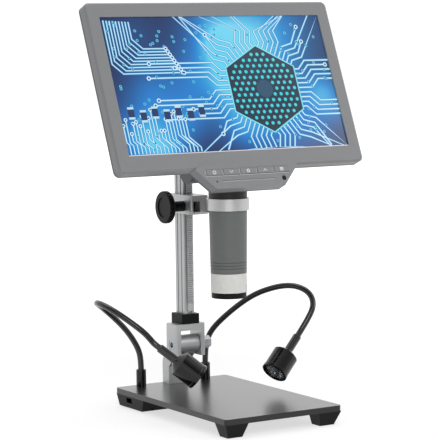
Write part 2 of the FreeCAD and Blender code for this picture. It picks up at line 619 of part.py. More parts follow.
# Mast hinge
def build_hinge():
    half = "bracket_width / 2"
    across = (f"-{half}", half)
    upright = box("bracket_upright", across, (BRACKET_FRONT, f"{BRACKET_FRONT} + bracket_depth"),
                  (PLATE_TOP, f"{PLATE_TOP} + bracket_height"))
    rounded = round_edges("bracket_rounded", upright, size("bracket_round"),
                          lambda e: is_along(e, 0) and e.CenterOfMass.z > upright.Shape.CenterOfMass.z
                          and e.CenterOfMass.y > upright.Shape.CenterOfMass.y)
    knuckle = rod("bracket_knuckle", "x", (PIVOT_Y, PIVOT), across, "knuckle_radius")
    web = doc.addObject("Part::Box", "bracket_web")
    run_y = f"({BRACKET_FRONT} + bracket_depth / 2 - {PIVOT_Y})"
    run_z = "(pivot_height - bracket_height + bracket_depth / 2 + 1.5)"
    bind(web, Length="bracket_width", Height="web_thick", Width=f"sqrt({run_y} ^ 2 + {run_z} ^ 2)")
    bind(web, Placement=f"placement(vector(-bracket_width / 2; {PIVOT_Y}; {PIVOT}); "
                        f"rotation(vector(1; 0; 0); -atan2({run_z}; {run_y}))) * "
                        f"placement(vector(0; 0; -web_thick / 2); rotation(vector(1; 0; 0); 0))")
    bracket = fuse("bracket_made", rounded, knuckle, web)
    bore = rod("bracket_bore", "x", (PIVOT_Y, PIVOT), (f"-{half} - 1", f"{half} + 1"),
               "bolt_radius + running_gap")
    taps = [rod(f"bracket_tap_{side}", "z", spot, (f"{PLATE_TOP} - 1", f"{PLATE_TOP} + 8.5"),
                "screw_radius + bore_gap") for side, spot in BRACKET_SCREWS.items()]
    node(cut("bracket_cut", bracket, bore, *taps), "hinge_bracket")

    outer = "fork_width / 2"
    inner = f"({outer} - fork_arm)"
    deep = (f"{PIVOT_Y} - fork_depth / 2", f"{PIVOT_Y} + fork_depth / 2")
    block = box("fork_block", (f"-{outer}", outer), deep, (f"{PIVOT} - fork_drop", FORK_TOP))
    soft = round_edges("fork_soft", block, 0.8, lambda e: is_along(e, 2), "Part::Chamfer")
    gap = box("fork_gap", (f"-{inner}", inner), (f"{PIVOT_Y} - fork_depth", f"{PIVOT_Y} + fork_depth"),
              (f"{PIVOT} - fork_drop - 1", f"{FORK_TOP} - fork_bridge"))
    through = rod("fork_bore", "x", (PIVOT_Y, PIVOT), (f"-{outer} - 1", f"{outer} + 1"),
                  "bolt_radius + bore_gap")
    sink = rod("fork_sink", "x", (PIVOT_Y, PIVOT), (f"-{outer} - 1", f"-{outer} + bolt_head_height"),
               "bolt_head_radius + bore_gap")
    middle = ("0", MAST_MIDDLE)
    riser = rod("fork_riser", "z", middle, (f"{FORK_TOP} - fork_bridge - 1", f"{FORK_TOP} + 1"),
                "mast_bore + bore_gap")
    sunk = cone("fork_sunk", "z", middle, (f"{FORK_TOP} - fork_bridge", f"{FORK_TOP} - fork_bridge + 2.4"),
                "mast_bore + 2.3 + bore_gap", "mast_bore + bore_gap")
    node(cut("fork_cut", soft, gap, through, sink, riser, sunk), "hinge_fork")

    head = rod("bolt_head", "x", (PIVOT_Y, PIVOT), (f"-{outer} + 0.2", f"-{outer} + bolt_head_height"),
               "bolt_head_radius")
    shank = rod("bolt_shank", "x", (PIVOT_Y, PIVOT),
                (f"-{outer} + 1", f"{outer} + washer_thick + nut_height + 1"),
                "bolt_radius")
    key = prism("bolt_key", "x", (PIVOT_Y, PIVOT), (f"-{outer}", f"-{outer} + 2.2"), "bolt_socket / 0.866")
    node(cut("bolt_cut", fuse("bolt_made", head, shank), key), "hinge_bolt")
    washer = rod("washer_disc", "x", (PIVOT_Y, PIVOT), (outer, f"{outer} + washer_thick"), "washer_radius")
    washer_hole = rod("washer_hole", "x", (PIVOT_Y, PIVOT), (f"{outer} - 1", f"{outer} + washer_thick + 1"),
                      "bolt_radius + bore_gap")
    node(cut("washer_cut", washer, washer_hole), "hinge_washer")
    nut = prism("nut_hex", "x", (PIVOT_Y, PIVOT),
                (f"{outer} + washer_thick", f"{outer} + washer_thick + nut_height"), "nut_radius")
    nut_hole = rod("nut_hole", "x", (PIVOT_Y, PIVOT), (outer, f"{outer} + washer_thick + nut_height + 1"),
                   "bolt_radius + bore_gap / 2")
    node(cut("nut_cut", nut, nut_hole), "hinge_nut")
    screw = rod("mast_screw_shank", "z", middle, (f"{FORK_TOP} - fork_bridge + 0.2", f"{FORK_TOP} + 12"),
                "mast_bore")
    screw_head = cone("mast_screw_head", "z", middle,
                      (f"{FORK_TOP} - fork_bridge + 0.1", f"{FORK_TOP} - fork_bridge + 2.3"),
                      "mast_bore + 2.1", "mast_bore")
    node(fuse("mast_screw_made", screw, screw_head), "mast_screw")


# Mast
def build_mast():
    half = "mast_width / 2"
    tall = (FORK_TOP, MAST_TOP)
    over = (f"{FORK_TOP} - 1", f"{MAST_TOP} + 1")
    bar = box("mast_bar", (f"-{half}", half), (MAST_FRONT, MAST_BACK), tall)
    soft = round_edges("mast_soft", bar, 0.5, lambda e: is_along(e, 2), "Part::Chamfer")
    slot = box("rack_slot", ("-rack_width / 2 - 0.05", "rack_width / 2 + 0.05"),
               (f"{MAST_FRONT} - 1", f"{MAST_FRONT} + rack_seat"), over)
    grooves = []
    for side, sign in SIDES.items():
        for n, share in enumerate(("0.3", "0.7")):
            middle = f"({MAST_FRONT} + {share} * mast_depth)"
            face = f"({sign} * {half})"
            grooves.append(box(f"side_groove_{side}_{n}",
                               (f"{face} - groove_depth", f"{face} + groove_depth"),
                               (f"{middle} - mast_groove / 2", f"{middle} + mast_groove / 2"), over))
    grooves.append(box("back_groove", ("-mast_groove", "mast_groove"),
                       (f"{MAST_BACK} - groove_depth", f"{MAST_BACK} + 1"), over))
    bore = rod("mast_bore_hole", "z", ("0", MAST_MIDDLE), over, "mast_bore + bore_gap")
    node(cut("mast_cut", soft, slot, bore, *grooves), "mast")

    wide = "collar_width / 2"
    block = box("collar_block", (f"-{wide}", wide),
                (f"{MAST_MIDDLE} - collar_depth / 2", f"{MAST_MIDDLE} + collar_depth / 2"),
                (FORK_TOP, f"{FORK_TOP} + collar_height"))
    soft_block = round_edges("collar_soft", block, 1.2, lambda e: is_along(e, 2))
    hole = box("collar_hole", (f"-{half} - bore_gap", f"{half} + bore_gap"),
               (f"{MAST_FRONT} - bore_gap", f"{MAST_BACK} + bore_gap"),
               (f"{FORK_TOP} - 1", f"{FORK_TOP} + collar_height + 1"))
    node(cut("collar_cut", soft_block, hole), "mast_collar")
    cap = box("cap_block", (f"-{half} - cap_brim", f"{half} + cap_brim"),
              (f"{MAST_FRONT} - cap_brim", f"{MAST_BACK} + cap_brim"),
              (MAST_TOP, f"{MAST_TOP} + cap_thick"))
    soft_cap = round_edges("cap_soft", cap, 0.9, lambda e: e.CenterOfMass.z > cap.Shape.BoundBox.ZMax - 0.01)
    plug = rod("cap_plug", "z", ("0", MAST_MIDDLE), (f"{MAST_TOP} - 6", f"{MAST_TOP} + 0.5"), "mast_bore")
    node(fuse("cap_made", soft_cap, plug), "mast_cap")
    stop = box("stop_block", ("-rack_width / 2", "rack_width / 2"),
               (f"{MAST_FRONT} - rack_proud + stop_inset", f"{MAST_FRONT} + rack_seat"),
               (f"{FORK_TOP} + rack_start - stop_height", f"{FORK_TOP} + rack_start - 0.1"))
    node(round_edges("stop_made", stop, 0.4,
                     lambda e: is_along(e, 2) and e.CenterOfMass.y < stop.Shape.CenterOfMass.y,
                     "Part::Chamfer"), "rack_stop")


def mast_face():
    """Front face of the mast, in millimetres."""
    return size("plate_depth") / 2 - size("pivot_from_back") - size("mast_setback")


def shaft_height():
    """Focus shaft above the table, in millimetres."""
    return size("slider_lift") + size("slider_height") / 2 - size("shaft_drop")


def build_rack():
    """Rack whose teeth face the front; a tooth space is centred on the pinion's height."""
    module, width = size("gear_module"), size("rack_width")
    pitch = math.pi * module
    tip = mast_face() - size("rack_proud")
    root = tip + 2.25 * module
    back = mast_face() + size("rack_seat")
    fork_top = size("foot_height") + size("plate_thick") + size("pivot_height") + size("fork_rise")
    foot = fork_top + size("rack_start")
    top = foot + size("rack_length")
    mesh = shaft_height()
    slant = math.tan(math.radians(20))
    tip_half = pitch / 4 - module * slant - 0.04
    root_half = pitch / 4 + 1.25 * module * slant
    first = math.ceil((foot + root_half - mesh) / pitch - 0.5)
    last = math.floor((top - root_half - mesh) / pitch - 0.5)
    profile = [(root, foot)]
    for n in range(first, last + 1):
        middle = mesh + (n + 0.5) * pitch
        profile += [(root, middle - root_half), (tip, middle - tip_half), (tip, middle + tip_half),
                    (root, middle + root_half)]
    profile += [(root, top), (back, top), (back, foot), (root, foot)]
    face = Part.Face(Part.makePolygon([FreeCAD.Vector(-width / 2, y, z) for y, z in profile]))
    node(feature("rack_bar", face.extrude(FreeCAD.Vector(width, 0, 0))), "rack")


# Carriage
def build_carriage():
    half = "slider_width / 2"
    tall = ("slider_lift", "slider_lift + slider_height")
    over = ("slider_lift - 1", "slider_lift + slider_height + 1")
    block = box("slider_block", (f"-{half}", half), (SLIDER_FRONT, SLIDER_BACK), tall)
    soft = round_edges("slider_soft", block, 1, lambda e: is_along(e, 2))
    guide = box("slider_guide", ("-mast_width / 2 - slide_gap", "mast_width / 2 + slide_gap"),
                (f"{MAST_FRONT} - slide_gap", f"{MAST_BACK} + slide_gap"), over)
    lane = box("slider_lane", ("-rack_width / 2 - lane_gap", "rack_width / 2 + lane_gap"),
               (f"{MAST_FRONT} - rack_proud - lane_gap", MAST_FRONT), over)
    window = box("slider_window", ("window_left", "window_left + window_width"),
                 (f"{SLIDER_FRONT} - 1", f"{MAST_FRONT} - rack_proud - lane_gap / 2"),
                 (f"{SHAFT_LIFT} - window_height / 2", f"{SHAFT_LIFT} + window_height / 2"))
    shaft = (SHAFT_FRONT, SHAFT_LIFT)
    tunnel = rod("slider_tunnel", "x", shaft, (f"-{half} - 1", f"{half} + 1"), "bush_radius")
    pinion_room = rod("slider_pinion_room", "x", shaft,
                      ("-rack_width / 2 - lane_gap", "rack_width / 2 + lane_gap"),
                      f"{PITCH_RADIUS} + 2 * gear_module")
    taps = [rod(f"lap_tap_{n}", "x", spot, (f"{half} - lap_bite - 0.2", f"{half} + 1"),
                "screw_radius + bore_gap")
            for n, spot in enumerate(LAP_SCREWS)]
    node(cut("slider_cut", soft, guide, lane, window, tunnel, pinion_room, *taps), "carriage")
    bushes = []
    for side, low, high in (("left", f"-{half} - boss_length", "window_left"),
                            ("right", "rack_width / 2 + lane_gap", half)):
        sleeve = rod(f"bush_{side}_sleeve", "x", shaft, (low, high), "bush_radius")
        hole = rod(f"bush_{side}_hole", "x", shaft, (f"{low} - 1", f"{high} + 1"),
                   "shaft_radius + running_gap")
        if side == "left":
            collar = rod("bush_collar", "x", shaft, (low, f"-{half}"), "boss_radius")
            sleeve = fuse("bush_flanged", sleeve, collar)
        bushes.append(cut(f"bush_{side}", sleeve, hole))
    node(group("bushes", *bushes), "shaft_bushes")

    tube = ("0", TUBE_Y)
    ring_middle = f"({RING_LIFT} + ring_height / 2)"
    arm_tall = ("slider_lift + arm_inset", "slider_lift + slider_height - arm_inset")
    screw_spot = ("ring_screw_offset", ring_middle)
    ring = rod("ring_outside", "z", tube, (RING_LIFT, RING_TOP), "ring_radius")
    arm = box("ring_arm", ("arm_left", "arm_left + arm_width"), (TUBE_Y, SLIDER_FRONT), arm_tall)
    lap = box("ring_lap", (half, f"{half} + lap_thick"),
              (f"{SLIDER_FRONT} - 1", f"{SLIDER_FRONT} + lap_length"),
              arm_tall)
    boss = rod("ring_boss", "y", screw_spot,
               (f"{TUBE_Y} + neck_radius", f"{TUBE_Y} + ring_radius + ring_boss_proud"),
               "ring_boss_radius")
    bore = rod("ring_bore", "z", tube, ("slider_lift", f"{RING_TOP} + slider_height"),
               "neck_seat_radius + running_gap")
    trim = rod("ring_trim", "z", tube, ("slider_lift", RING_LIFT), "ring_radius")
    tap = rod("ring_tap", "y", screw_spot,
              (f"{TUBE_Y} + 10", f"{TUBE_Y} + ring_radius + ring_boss_proud + 1"),
              "screw_radius")
    lap_holes = [rod(f"lap_hole_{n}", "x", spot, (f"{half} - 1", f"{half} + lap_thick + 1"),
                     "screw_radius + bore_gap")
                 for n, spot in enumerate(LAP_SCREWS)]
    node(cut("ring_cut", fuse("ring_made", ring, arm, lap, boss), bore, trim, tap, *lap_holes), "tube_ring")
    grub_end = f"{TUBE_Y} + ring_radius + ring_boss_proud + 0.4"
    grub = rod("grub_rod", "y", screw_spot, (f"{TUBE_Y} + neck_seat_radius + running_gap", grub_end),
               "screw_radius")
    grub_key = prism("grub_key", "y", screw_spot, (f"{grub_end} - 1.4", f"{grub_end} + 0.6"), "0.9")
    node(cut("grub_cut", grub, grub_key), "ring_screw")
    screws = []
    for n, spot in enumerate(LAP_SCREWS):
        face = f"({half} + lap_thick)"
        head = rod(f"lap_screw_head_{n}", "x", spot, (face, f"{face} + screw_head_height"), "screw_head")
        shank = rod(f"lap_screw_shank_{n}", "x", spot, (f"{half} - lap_bite", face), "screw_radius")
        screws.append(fuse(f"lap_screw_{n}", head, shank))
    node(group("lap_screws", *screws), "arm_screws")


LAP_SCREWS = [(f"{SLIDER_FRONT} + lap_length / 2", f"{SHAFT_LIFT} + {lift}") for lift in ("-4", "4.5")]


# Focus shaft and knob
def build_knob():
    """Shaft with its twelve-tooth pinion, and a fluted knob on its left end."""
    boss_end = -size("slider_width") / 2 - size("boss_length")
    shaft_y = (mast_face() - size("rack_proud") + size("gear_module")
               - size("gear_module") * size("gear_teeth") / 2 - size("gear_backlash"))
    shaft_z = shaft_height()
    teeth, module = int(size("gear_teeth")), size("gear_module")
    pitch_radius = module * teeth / 2
    tip, root = pitch_radius + module * 0.95, pitch_radius - module * 1.2
    points = []
    for n in range(teeth):
        middle = 2 * math.pi * n / teeth
        for radius, half in ((root, 0.33), (pitch_radius, 0.225), (tip, 0.10)):
            points.append((radius, middle - half * 2 * math.pi / teeth))
        for radius, half in ((tip, 0.10), (pitch_radius, 0.225), (root, 0.33)):
            points.append((radius, middle + half * 2 * math.pi / teeth))
    points.append(points[0])
    width = size("rack_width")
    outline = [FreeCAD.Vector(-width / 2, -r * math.cos(a), r * math.sin(a)) for r, a in points]
    pinion = Part.Face(Part.makePolygon(outline)).extrude(FreeCAD.Vector(width, 0, 0))
    pinion.translate(FreeCAD.Vector(0, shaft_y, shaft_z))
    knob_outer = boss_end - size("knob_gap") - size("knob_thick")
    start = FreeCAD.Vector(knob_outer + size("knob_web"), shaft_y, shaft_z)
    shaft = Part.makeCylinder(size("shaft_radius"), size("shaft_right") - start.x, start,
                              FreeCAD.Vector(1, 0, 0))
    node(feature("pinion_made", shaft.fuse(pinion).removeSplitter()), "pinion_shaft")

    left = "(-slider_width / 2 - boss_length - knob_gap - knob_thick)"
    right = f"({left} + knob_thick)"
    place = (SHAFT_FRONT, SHAFT_LIFT)
    disc = rod("knob_disc", "x", place, (left, right), "knob_radius")
    soft = round_edges("knob_soft", disc, 1.4, lambda e: isinstance(e.Curve, Part.Circle))
    dish = rod("knob_dish", "x", place, (f"{left} - 1", f"{left} + 0.8"), "knob_radius * 0.62")
    hub = rod("knob_hub", "x", place, (f"{right} - 1", f"{right} + knob_gap - 1"), "hub_radius")
    hole = rod("knob_hole", "x", place, (f"{left} + knob_web", f"{right} + knob_gap"), "shaft_radius")
    flutes = []
    for n in range(int(size("knob_flutes"))):
        angle = 360 * n / size("knob_flutes")
        spot = (f"{SHAFT_FRONT} + (knob_radius + knob_flute / 3) * cos({angle})",
                f"{SHAFT_LIFT} + (knob_radius + knob_flute / 3) * sin({angle})")
        flutes.append(rod(f"knob_flute_{n}", "x", spot, (f"{left} - 1", f"{right} + 1"), "knob_flute"))
    node(cut("knob_cut", fuse("knob_made", soft, hub), dish, hole, *flutes), "focus_knob")


# Microscope tube
BARREL_ROOF = f"({NECK_TOP} + barrel_rise)"


def build_tube():
    tube = ("0", TUBE_Y)
    diffuser_foot = f"({RING_LIFT} - slide_gap - sleeve_length - slide_gap - diffuser_height)"
    sleeve_foot = f"({diffuser_foot} + diffuser_height + slide_gap)"
    sleeve_top = f"({sleeve_foot} + sleeve_length)"
    flare_top = f"({NECK_TOP} + flare_height)"
    neck = rod("neck_outside", "z", tube, (RING_TOP, NECK_TOP), "neck_radius")
    neck_seat = rod("neck_seat", "z", tube, (RING_LIFT, f"{RING_TOP} + 1"), "neck_seat_radius")
    flare = cone("neck_flare", "z", tube, (NECK_TOP, flare_top), "neck_radius", "flare_radius")
    barrel = rod("barrel_outside", "z", tube, (diffuser_foot, f"{RING_LIFT} + 1"), "barrel_radius")
    drum_place = (DRUM_Y, DRUM_HEIGHT)
    drum = rod("drum_outside", "x", drum_place, ("-drum_length / 2", "drum_length / 2"), "drum_radius")
    saddle = box("drum_saddle", ("-saddle_width / 2", "saddle_width / 2"),
                 (f"{TUBE_Y} - saddle_front", f"{DRUM_Y} + drum_radius * 0.8"),
                 (f"{flare_top} - 1.5", f"{DRUM_HEIGHT} - drum_radius / 2 + 0.25"))
    bore = rod("barrel_hollow", "z", tube, (f"{diffuser_foot} - 1", BARREL_ROOF), "barrel_bore")
    pins = [rod(f"pin_bore_{side}", "x", drum_place,
                (f"{sign} * drum_length / 2 - pin_length - 0.5",
                 f"{sign} * drum_length / 2 + pin_length + 0.5"),
                "pin_radius + running_gap") for side, sign in SIDES.items()]
    hollow = rod("drum_hollow", "x", drum_place, ("-drum_length / 2 + pin_length + drum_wall",
                                                "drum_length / 2 - pin_length - drum_wall"), "drum_bore")
    made = fuse("tube_made", neck, neck_seat, flare, barrel, drum, saddle)
    node(cut("tube_cut", made, bore, hollow, *pins), "tube_body")
    board = box("sensor_plate", ("-sensor_side / 2", "sensor_side / 2"),
                (f"{TUBE_Y} - sensor_side / 2", f"{TUBE_Y} + sensor_side / 2"),
                (f"{BARREL_ROOF} - board_thick", BARREL_ROOF))
    chip = box("sensor_chip", ("-4", "4"), (f"{TUBE_Y} - 4", f"{TUBE_Y} + 4"),
               (f"{BARREL_ROOF} - 1.4 - board_thick", f"{BARREL_ROOF} - board_thick + 0.1"))
    node(fuse("sensor_made", board, chip), "camera_board")

    skin = cone("sleeve_skin", "z", tube, (sleeve_foot, sleeve_top), "sleeve_foot_radius",
                "sleeve_top_radius")
    sleeve_bore = rod("sleeve_bore", "z", tube, (f"{sleeve_foot} - 1", f"{sleeve_top} + 1"),
                      "barrel_radius + slide_gap")
    grooves = []
    for n in range(3):
        lift = f"({sleeve_foot} + grip_groove_lift + {n} * grip_groove_pitch)"
        ring = rod(f"grip_ring_{n}", "z", tube, (lift, f"{lift} + grip_groove_width"),
                   "sleeve_top_radius + 1")
        core = rod(f"grip_core_{n}", "z", tube, (f"{lift} - 1", f"{lift} + 2"),
                   "sleeve_foot_radius - grip_groove")
        grooves.append(cut(f"grip_cut_{n}", ring, core))
    node(cut("sleeve_cut", skin, sleeve_bore, *grooves), "focus_sleeve")

    milk = rod("milk_outside", "z", tube, (diffuser_foot, f"{diffuser_foot} + diffuser_height"),
               "diffuser_radius")
    milk_bore = rod("milk_bore", "z", tube,
                    (f"{diffuser_foot} - 1", f"{diffuser_foot} + diffuser_height + 1"),
                    "barrel_radius")
    node(cut("milk_cut", milk, milk_bore), "diffuser_ring")
    end = rod("end_outside", "z", tube, (f"{diffuser_foot} - end_height", diffuser_foot), "end_radius")
    end_bore = cone("end_bore", "z", tube, (f"{diffuser_foot} - end_height - 0.1", f"{diffuser_foot} + 0.1"),
                    "barrel_bore - 0.4", "end_bore")
    node(cut("end_cut", end, end_bore), "end_ring")

    foot = f"({diffuser_foot} + carrier_lift)"
    carrier = rod("carrier_outside", "z", tube, (foot, f"{foot} + carrier_length"),
                  "barrel_bore - running_gap * 2")
    carrier_bore = rod("carrier_bore_hole", "z", tube, (f"{foot} - 1", f"{foot} + carrier_length + 1"),
                       "carrier_bore")
    lens_seat = rod("lens_seat", "z", tube, (f"{foot} - 1", f"{foot} + lens_thick + 1"),
                    "lens_radius + bore_gap")
    node(cut("carrier_cut", carrier, carrier_bore, lens_seat), "lens_carrier")
    glass = rod("lens_disc", "z", tube, (f"{foot} + 1", f"{foot} + 1 + lens_thick"), "lens_radius")
    node(round_edges("lens_made", glass, 1.2, lambda e: isinstance(e.Curve, Part.Circle)
                     and e.CenterOfMass.z < glass.Shape.CenterOfMass.z), "objective_lens")


# Screen, built upright about the middle of its picture and then leaned back
HALF_WIDTH = "(picture_width / 2 + bezel_side)"
TOP = "(picture_height / 2 + bezel_top)"
FOOT = "(-picture_height / 2 - bezel_foot)"
COVER_BACK = "(bezel_depth + cover_skin)"
BUTTON_WIDTH = "(button_pitch - button_space)"
BUTTON_MIDDLE = f"({FOOT} - button_fall)"
WINDOW_MIDDLE = f"({FOOT} - window_fall)"


def lean(item):
    """Put a piece of the screen in place."""
    item.setExpression("Placement", "screen_place.Placement")
    return item


def slab(name, depth, inset="0", proud="0"):
    """Outline of the screen with its chin, between two depths, drawn in by inset; the chin may stand proud."""
    wide, high, low = f"({HALF_WIDTH} - {inset})", f"({TOP} - {inset})", f"({FOOT} + {inset})"
    plate = box(f"{name}_plate", (f"-{wide}", wide), depth, (low, high))
    brow, top, toe = (f"({width} / 2 - {inset} * 1.3)" for width in ("chin_brow_width", "chin_width",
                                                                     "chin_toe_width"))
    deep = (f"{depth[0]} - {proud}", depth[1])
    upper = frustum(f"{name}_brow", (FOOT, f"{FOOT} + chin_brow"), (f"-{top}", top, *deep),
                    (f"-{brow}", brow, *deep))
    lower = frustum(f"{name}_chin", (f"{FOOT} - chin_drop + {inset}", FOOT),
                    (f"-{toe}", toe, *deep), (f"-{top}", top, *deep))
    return plate, upper, lower


def button_limits(n, grow="0"):
    middle = f"({n - 2} * button_pitch)"
    return ((f"{middle} - {BUTTON_WIDTH} / 2 - {grow}", f"{middle} + {BUTTON_WIDTH} / 2 + {grow}"),
            (f"{BUTTON_MIDDLE} - button_height / 2 - {grow}",
             f"{BUTTON_MIDDLE} + button_height / 2 + {grow}"))


def build_screen():
    place = doc.addObject("Part::Vertex", "screen_place")
    bind(place, Placement=f"placement(vector(0; {SCREEN_Y}; {SCREEN_MIDDLE}); "
                          "rotation(vector(1; 0; 0); -screen_lean))")
    plate, brow, chin = slab("bezel", ("0", "bezel_depth"), proud="chin_proud")
    rounded = round_edges("bezel_rounded", plate, size("bezel_corner"), lambda e: is_along(e, 1))
    front = round_edges("bezel_front", rounded, size("bezel_chamfer"),
                        lambda e: abs(e.CenterOfMass.y) < 1e-6, "Part::Chamfer")
    window = box("bezel_window", ("-picture_width / 2", "picture_width / 2"), ("-1", "bezel_depth"),
                 ("-picture_height / 2", "picture_height / 2"))
    hollow = slab("bezel_hollow", ("bezel_skin", "bezel_depth + 1"), "bezel_wall")
    holes = []
    for n in range(5):
        x, z = button_limits(n, "button_gap")
        holes.append(box(f"button_hole_{n}", x, ("-1", "bezel_depth"), z))
    holes.append(rod("light_hole", "y", ("-light_offset", WINDOW_MIDDLE), ("-1", "bezel_skin + 2"),
                     "light_radius"))
    holes.append(rod("receiver_hole", "y", ("receiver_offset", WINDOW_MIDDLE), ("-1", "bezel_skin + 2"),
                     "receiver_radius"))
    groove = box("chin_groove", ("-groove_length / 2", "groove_length / 2"), ("-1", "0.4"),
                 (f"{WINDOW_MIDDLE} - groove_height / 2", f"{WINDOW_MIDDLE} + groove_height / 2"))
    posts = [rod(f"screw_post_{n}", "y", spot, ("bezel_skin / 2", "bezel_depth"), "screw_post")
             for n, spot in enumerate(COVER_SCREWS)]
    ribs = [box(f"button_rib_{n}",
                (f"{place} * button_pitch - rib_width / 2", f"{place} * button_pitch + rib_width / 2"),
                ("bezel_skin / 2", KEY_BOARD_FRONT),
                (f"{BUTTON_MIDDLE} - rib_height / 2", f"{BUTTON_MIDDLE} + rib_height / 2"))
            for n, place in enumerate(("-1.5", "-0.5", "0.5", "1.5"))]
    taps = [rod(f"screw_tap_{n}", "y", spot, ("bezel_skin", "bezel_depth + 1"), "screw_radius + bore_gap")
            for n, spot in enumerate(COVER_SCREWS)]
    shell = cut("bezel_shell", fuse("bezel_solid", front, brow, chin), window, *hollow, *holes, groove)
    lean(node(cut("bezel_cut", fuse("bezel_posts", shell, *posts, *ribs), *taps), "front_bezel"))

    wide, tall = "(picture_width / 2 + panel_margin)", "(picture_height / 2 + panel_margin)"
    panel_depth = ("bezel_skin", "bezel_skin + panel_thick")
    lean(node(group("panel_made", box("panel_block", (f"-{wide}", wide), panel_depth, (f"-{tall}", tall))),
              "lcd_panel"))

    flange_plate, flange_brow, flange_chin = slab("flange", ("bezel_depth", COVER_BACK))
    flange = round_edges("flange_rounded", flange_plate, size("bezel_corner"), lambda e: is_along(e, 1))
    bulge_low = ("-bulge_width / 2", "bulge_width / 2", "-bulge_foot", "bulge_top")
    bulge = bulge_block("bulge", COVER_BACK + " - 0.5", f"{COVER_BACK} + bulge_depth", "0")
    bulge_in = bulge_block("bulge_in", "bezel_depth - 1", f"{COVER_BACK} + bulge_depth - cover_skin",
                           "cover_skin")
    ears = []
    for side, sign in SIDES.items():
        inner = f"{sign} * (drum_length / 2 + slide_gap + ear_thick / 2)"
        across = (f"{inner} - ear_thick / 2", f"{inner} + ear_thick / 2")
        ears.append(rod(f"ear_round_{side}", "x", (PIVOT_DEPTH, PIVOT_DROP), across, "drum_radius"))
        ears.append(box(f"ear_root_{side}", across, (f"{COVER_BACK} + bulge_depth - 3", PIVOT_DEPTH),
                        (f"{PIVOT_DROP} - 2", f"{PIVOT_DROP} + drum_radius")))
    shafts = [rod(f"pin_hole_{side}", "x", (PIVOT_DEPTH, PIVOT_DROP),
                  (f"{sign} * (drum_length / 2 + 2) - pin_length - 1",
                   f"{sign} * (drum_length / 2 + 2) + pin_length + 1"), "pin_radius") for side,
                   sign in SIDES.items()]
    screw_holes = [rod(f"cover_hole_{n}", "y", spot, ("bezel_depth - 1", f"{COVER_BACK} + 1"),
                       "screw_radius + bore_gap") for n, spot in enumerate(COVER_SCREWS)]
    cover = cut("cover_shell", fuse("cover_solid", flange, flange_brow, flange_chin, bulge), bulge_in)
    lean(node(cut("cover_cut", fuse("cover_ears", cover, *ears), *shafts, *screw_holes), "rear_cover"))

    pins = []
    for side, sign in SIDES.items():
        inner = f"({sign} * (drum_length / 2 - pin_length))"
        outer = f"({sign} * (drum_length / 2 + 3 + pin_length))"
        span = (inner, outer) if sign == "1" else (outer, inner)
        pins.append(rod(f"tilt_pin_{side}", "x", (PIVOT_DEPTH, PIVOT_DROP), span, "pin_radius"))
    lean(node(group("tilt_pins", *pins), "tilt_pins"))

    screws = []
    for n, spot in enumerate(COVER_SCREWS):
        head = rod(f"cover_screw_head_{n}", "y", spot, (COVER_BACK, f"{COVER_BACK} + screw_head_height"),
                   "screw_head")
        shank = rod(f"cover_screw_shank_{n}", "y", spot, ("bezel_skin + 1", COVER_BACK), "screw_radius")
        screws.append(fuse(f"cover_screw_{n}", head, shank))
    lean(node(group("cover_screws", *screws), "cover_screws"))

    board_back = (panel_depth[1], f"{panel_depth[1]} + board_thick")
    board = box("main_board_plate", ("-main_board_width / 2", "main_board_width / 2"), board_back,
                ("-main_board_drop - main_board_height / 2", "-main_board_drop + main_board_height / 2"))
    chip = box("main_chip", ("-14", "14"), (f"{board_back[1]} - 0.1", f"{board_back[1]} + 3"), ("-36", "-14"))
    plug = box("main_plug", ("35", "50"), (f"{board_back[1]} - 0.1", f"{board_back[1]} + 4"), ("-30", "-20"))
    lean(node(fuse("main_board_made", board, chip, plug), "main_board"))
    key_depth = (KEY_BOARD_FRONT, f"{KEY_BOARD_FRONT} + 1")
    key_board = box("key_board_plate", ("-key_board_width / 2", "key_board_width / 2"), key_depth,
                    (f"{BUTTON_MIDDLE} - key_board_height / 2", f"{BUTTON_MIDDLE} + key_board_height / 2"))
    lean(node(group("key_board_made", key_board), "key_board"))
    pipe = rod("light_rod", "y", ("-light_offset", WINDOW_MIDDLE), ("0", "bezel_skin + 2"), "light_radius")
    lean(node(group("light_made", pipe), "status_light"))
    disc = rod("receiver_rod", "y", ("receiver_offset", WINDOW_MIDDLE), ("0", "bezel_skin + 2"),
               "receiver_radius")
    lean(node(group("receiver_made", disc), "receiver_window"))
    for n, label in enumerate(("power_button", "down_button", "enter_button", "up_button", "menu_button")):
        x, z = button_limits(n)
        cap = box(f"button_cap_{n}", x, ("-button_proud - chin_proud", "bezel_skin + button_stem"), z)
        soft = round_edges(f"button_soft_{n}", cap, 0.4,
                           lambda e: e.CenterOfMass.y < cap.Shape.BoundBox.YMin + 0.01)
        lean(node(group(f"button_made_{n}", soft), label))


def bulge_block(name, start, end, inset):
    """Low pyramid on the back of the cover, drawn in by inset."""
    item = doc.addObject("Part::Wedge", name)
    wide, top, foot = f"(bulge_width / 2 - {inset})", f"(bulge_top - {inset})", f"(bulge_foot - {inset})"
    limits = {
        "Ymin": start, "Ymax": end, "Xmin": f"-{wide}", "Xmax": wide, "Zmin": f"-{foot}", "Zmax": top,
        "X2min": f"-{wide} + bulge_slope", "X2max": f"{wide} - bulge_slope",
        "Z2min": f"-{foot}", "Z2max": f"{top} - bulge_slope",
    }
    for prop, text in limits.items():
        item.setExpression(prop, cells(text))
    return item


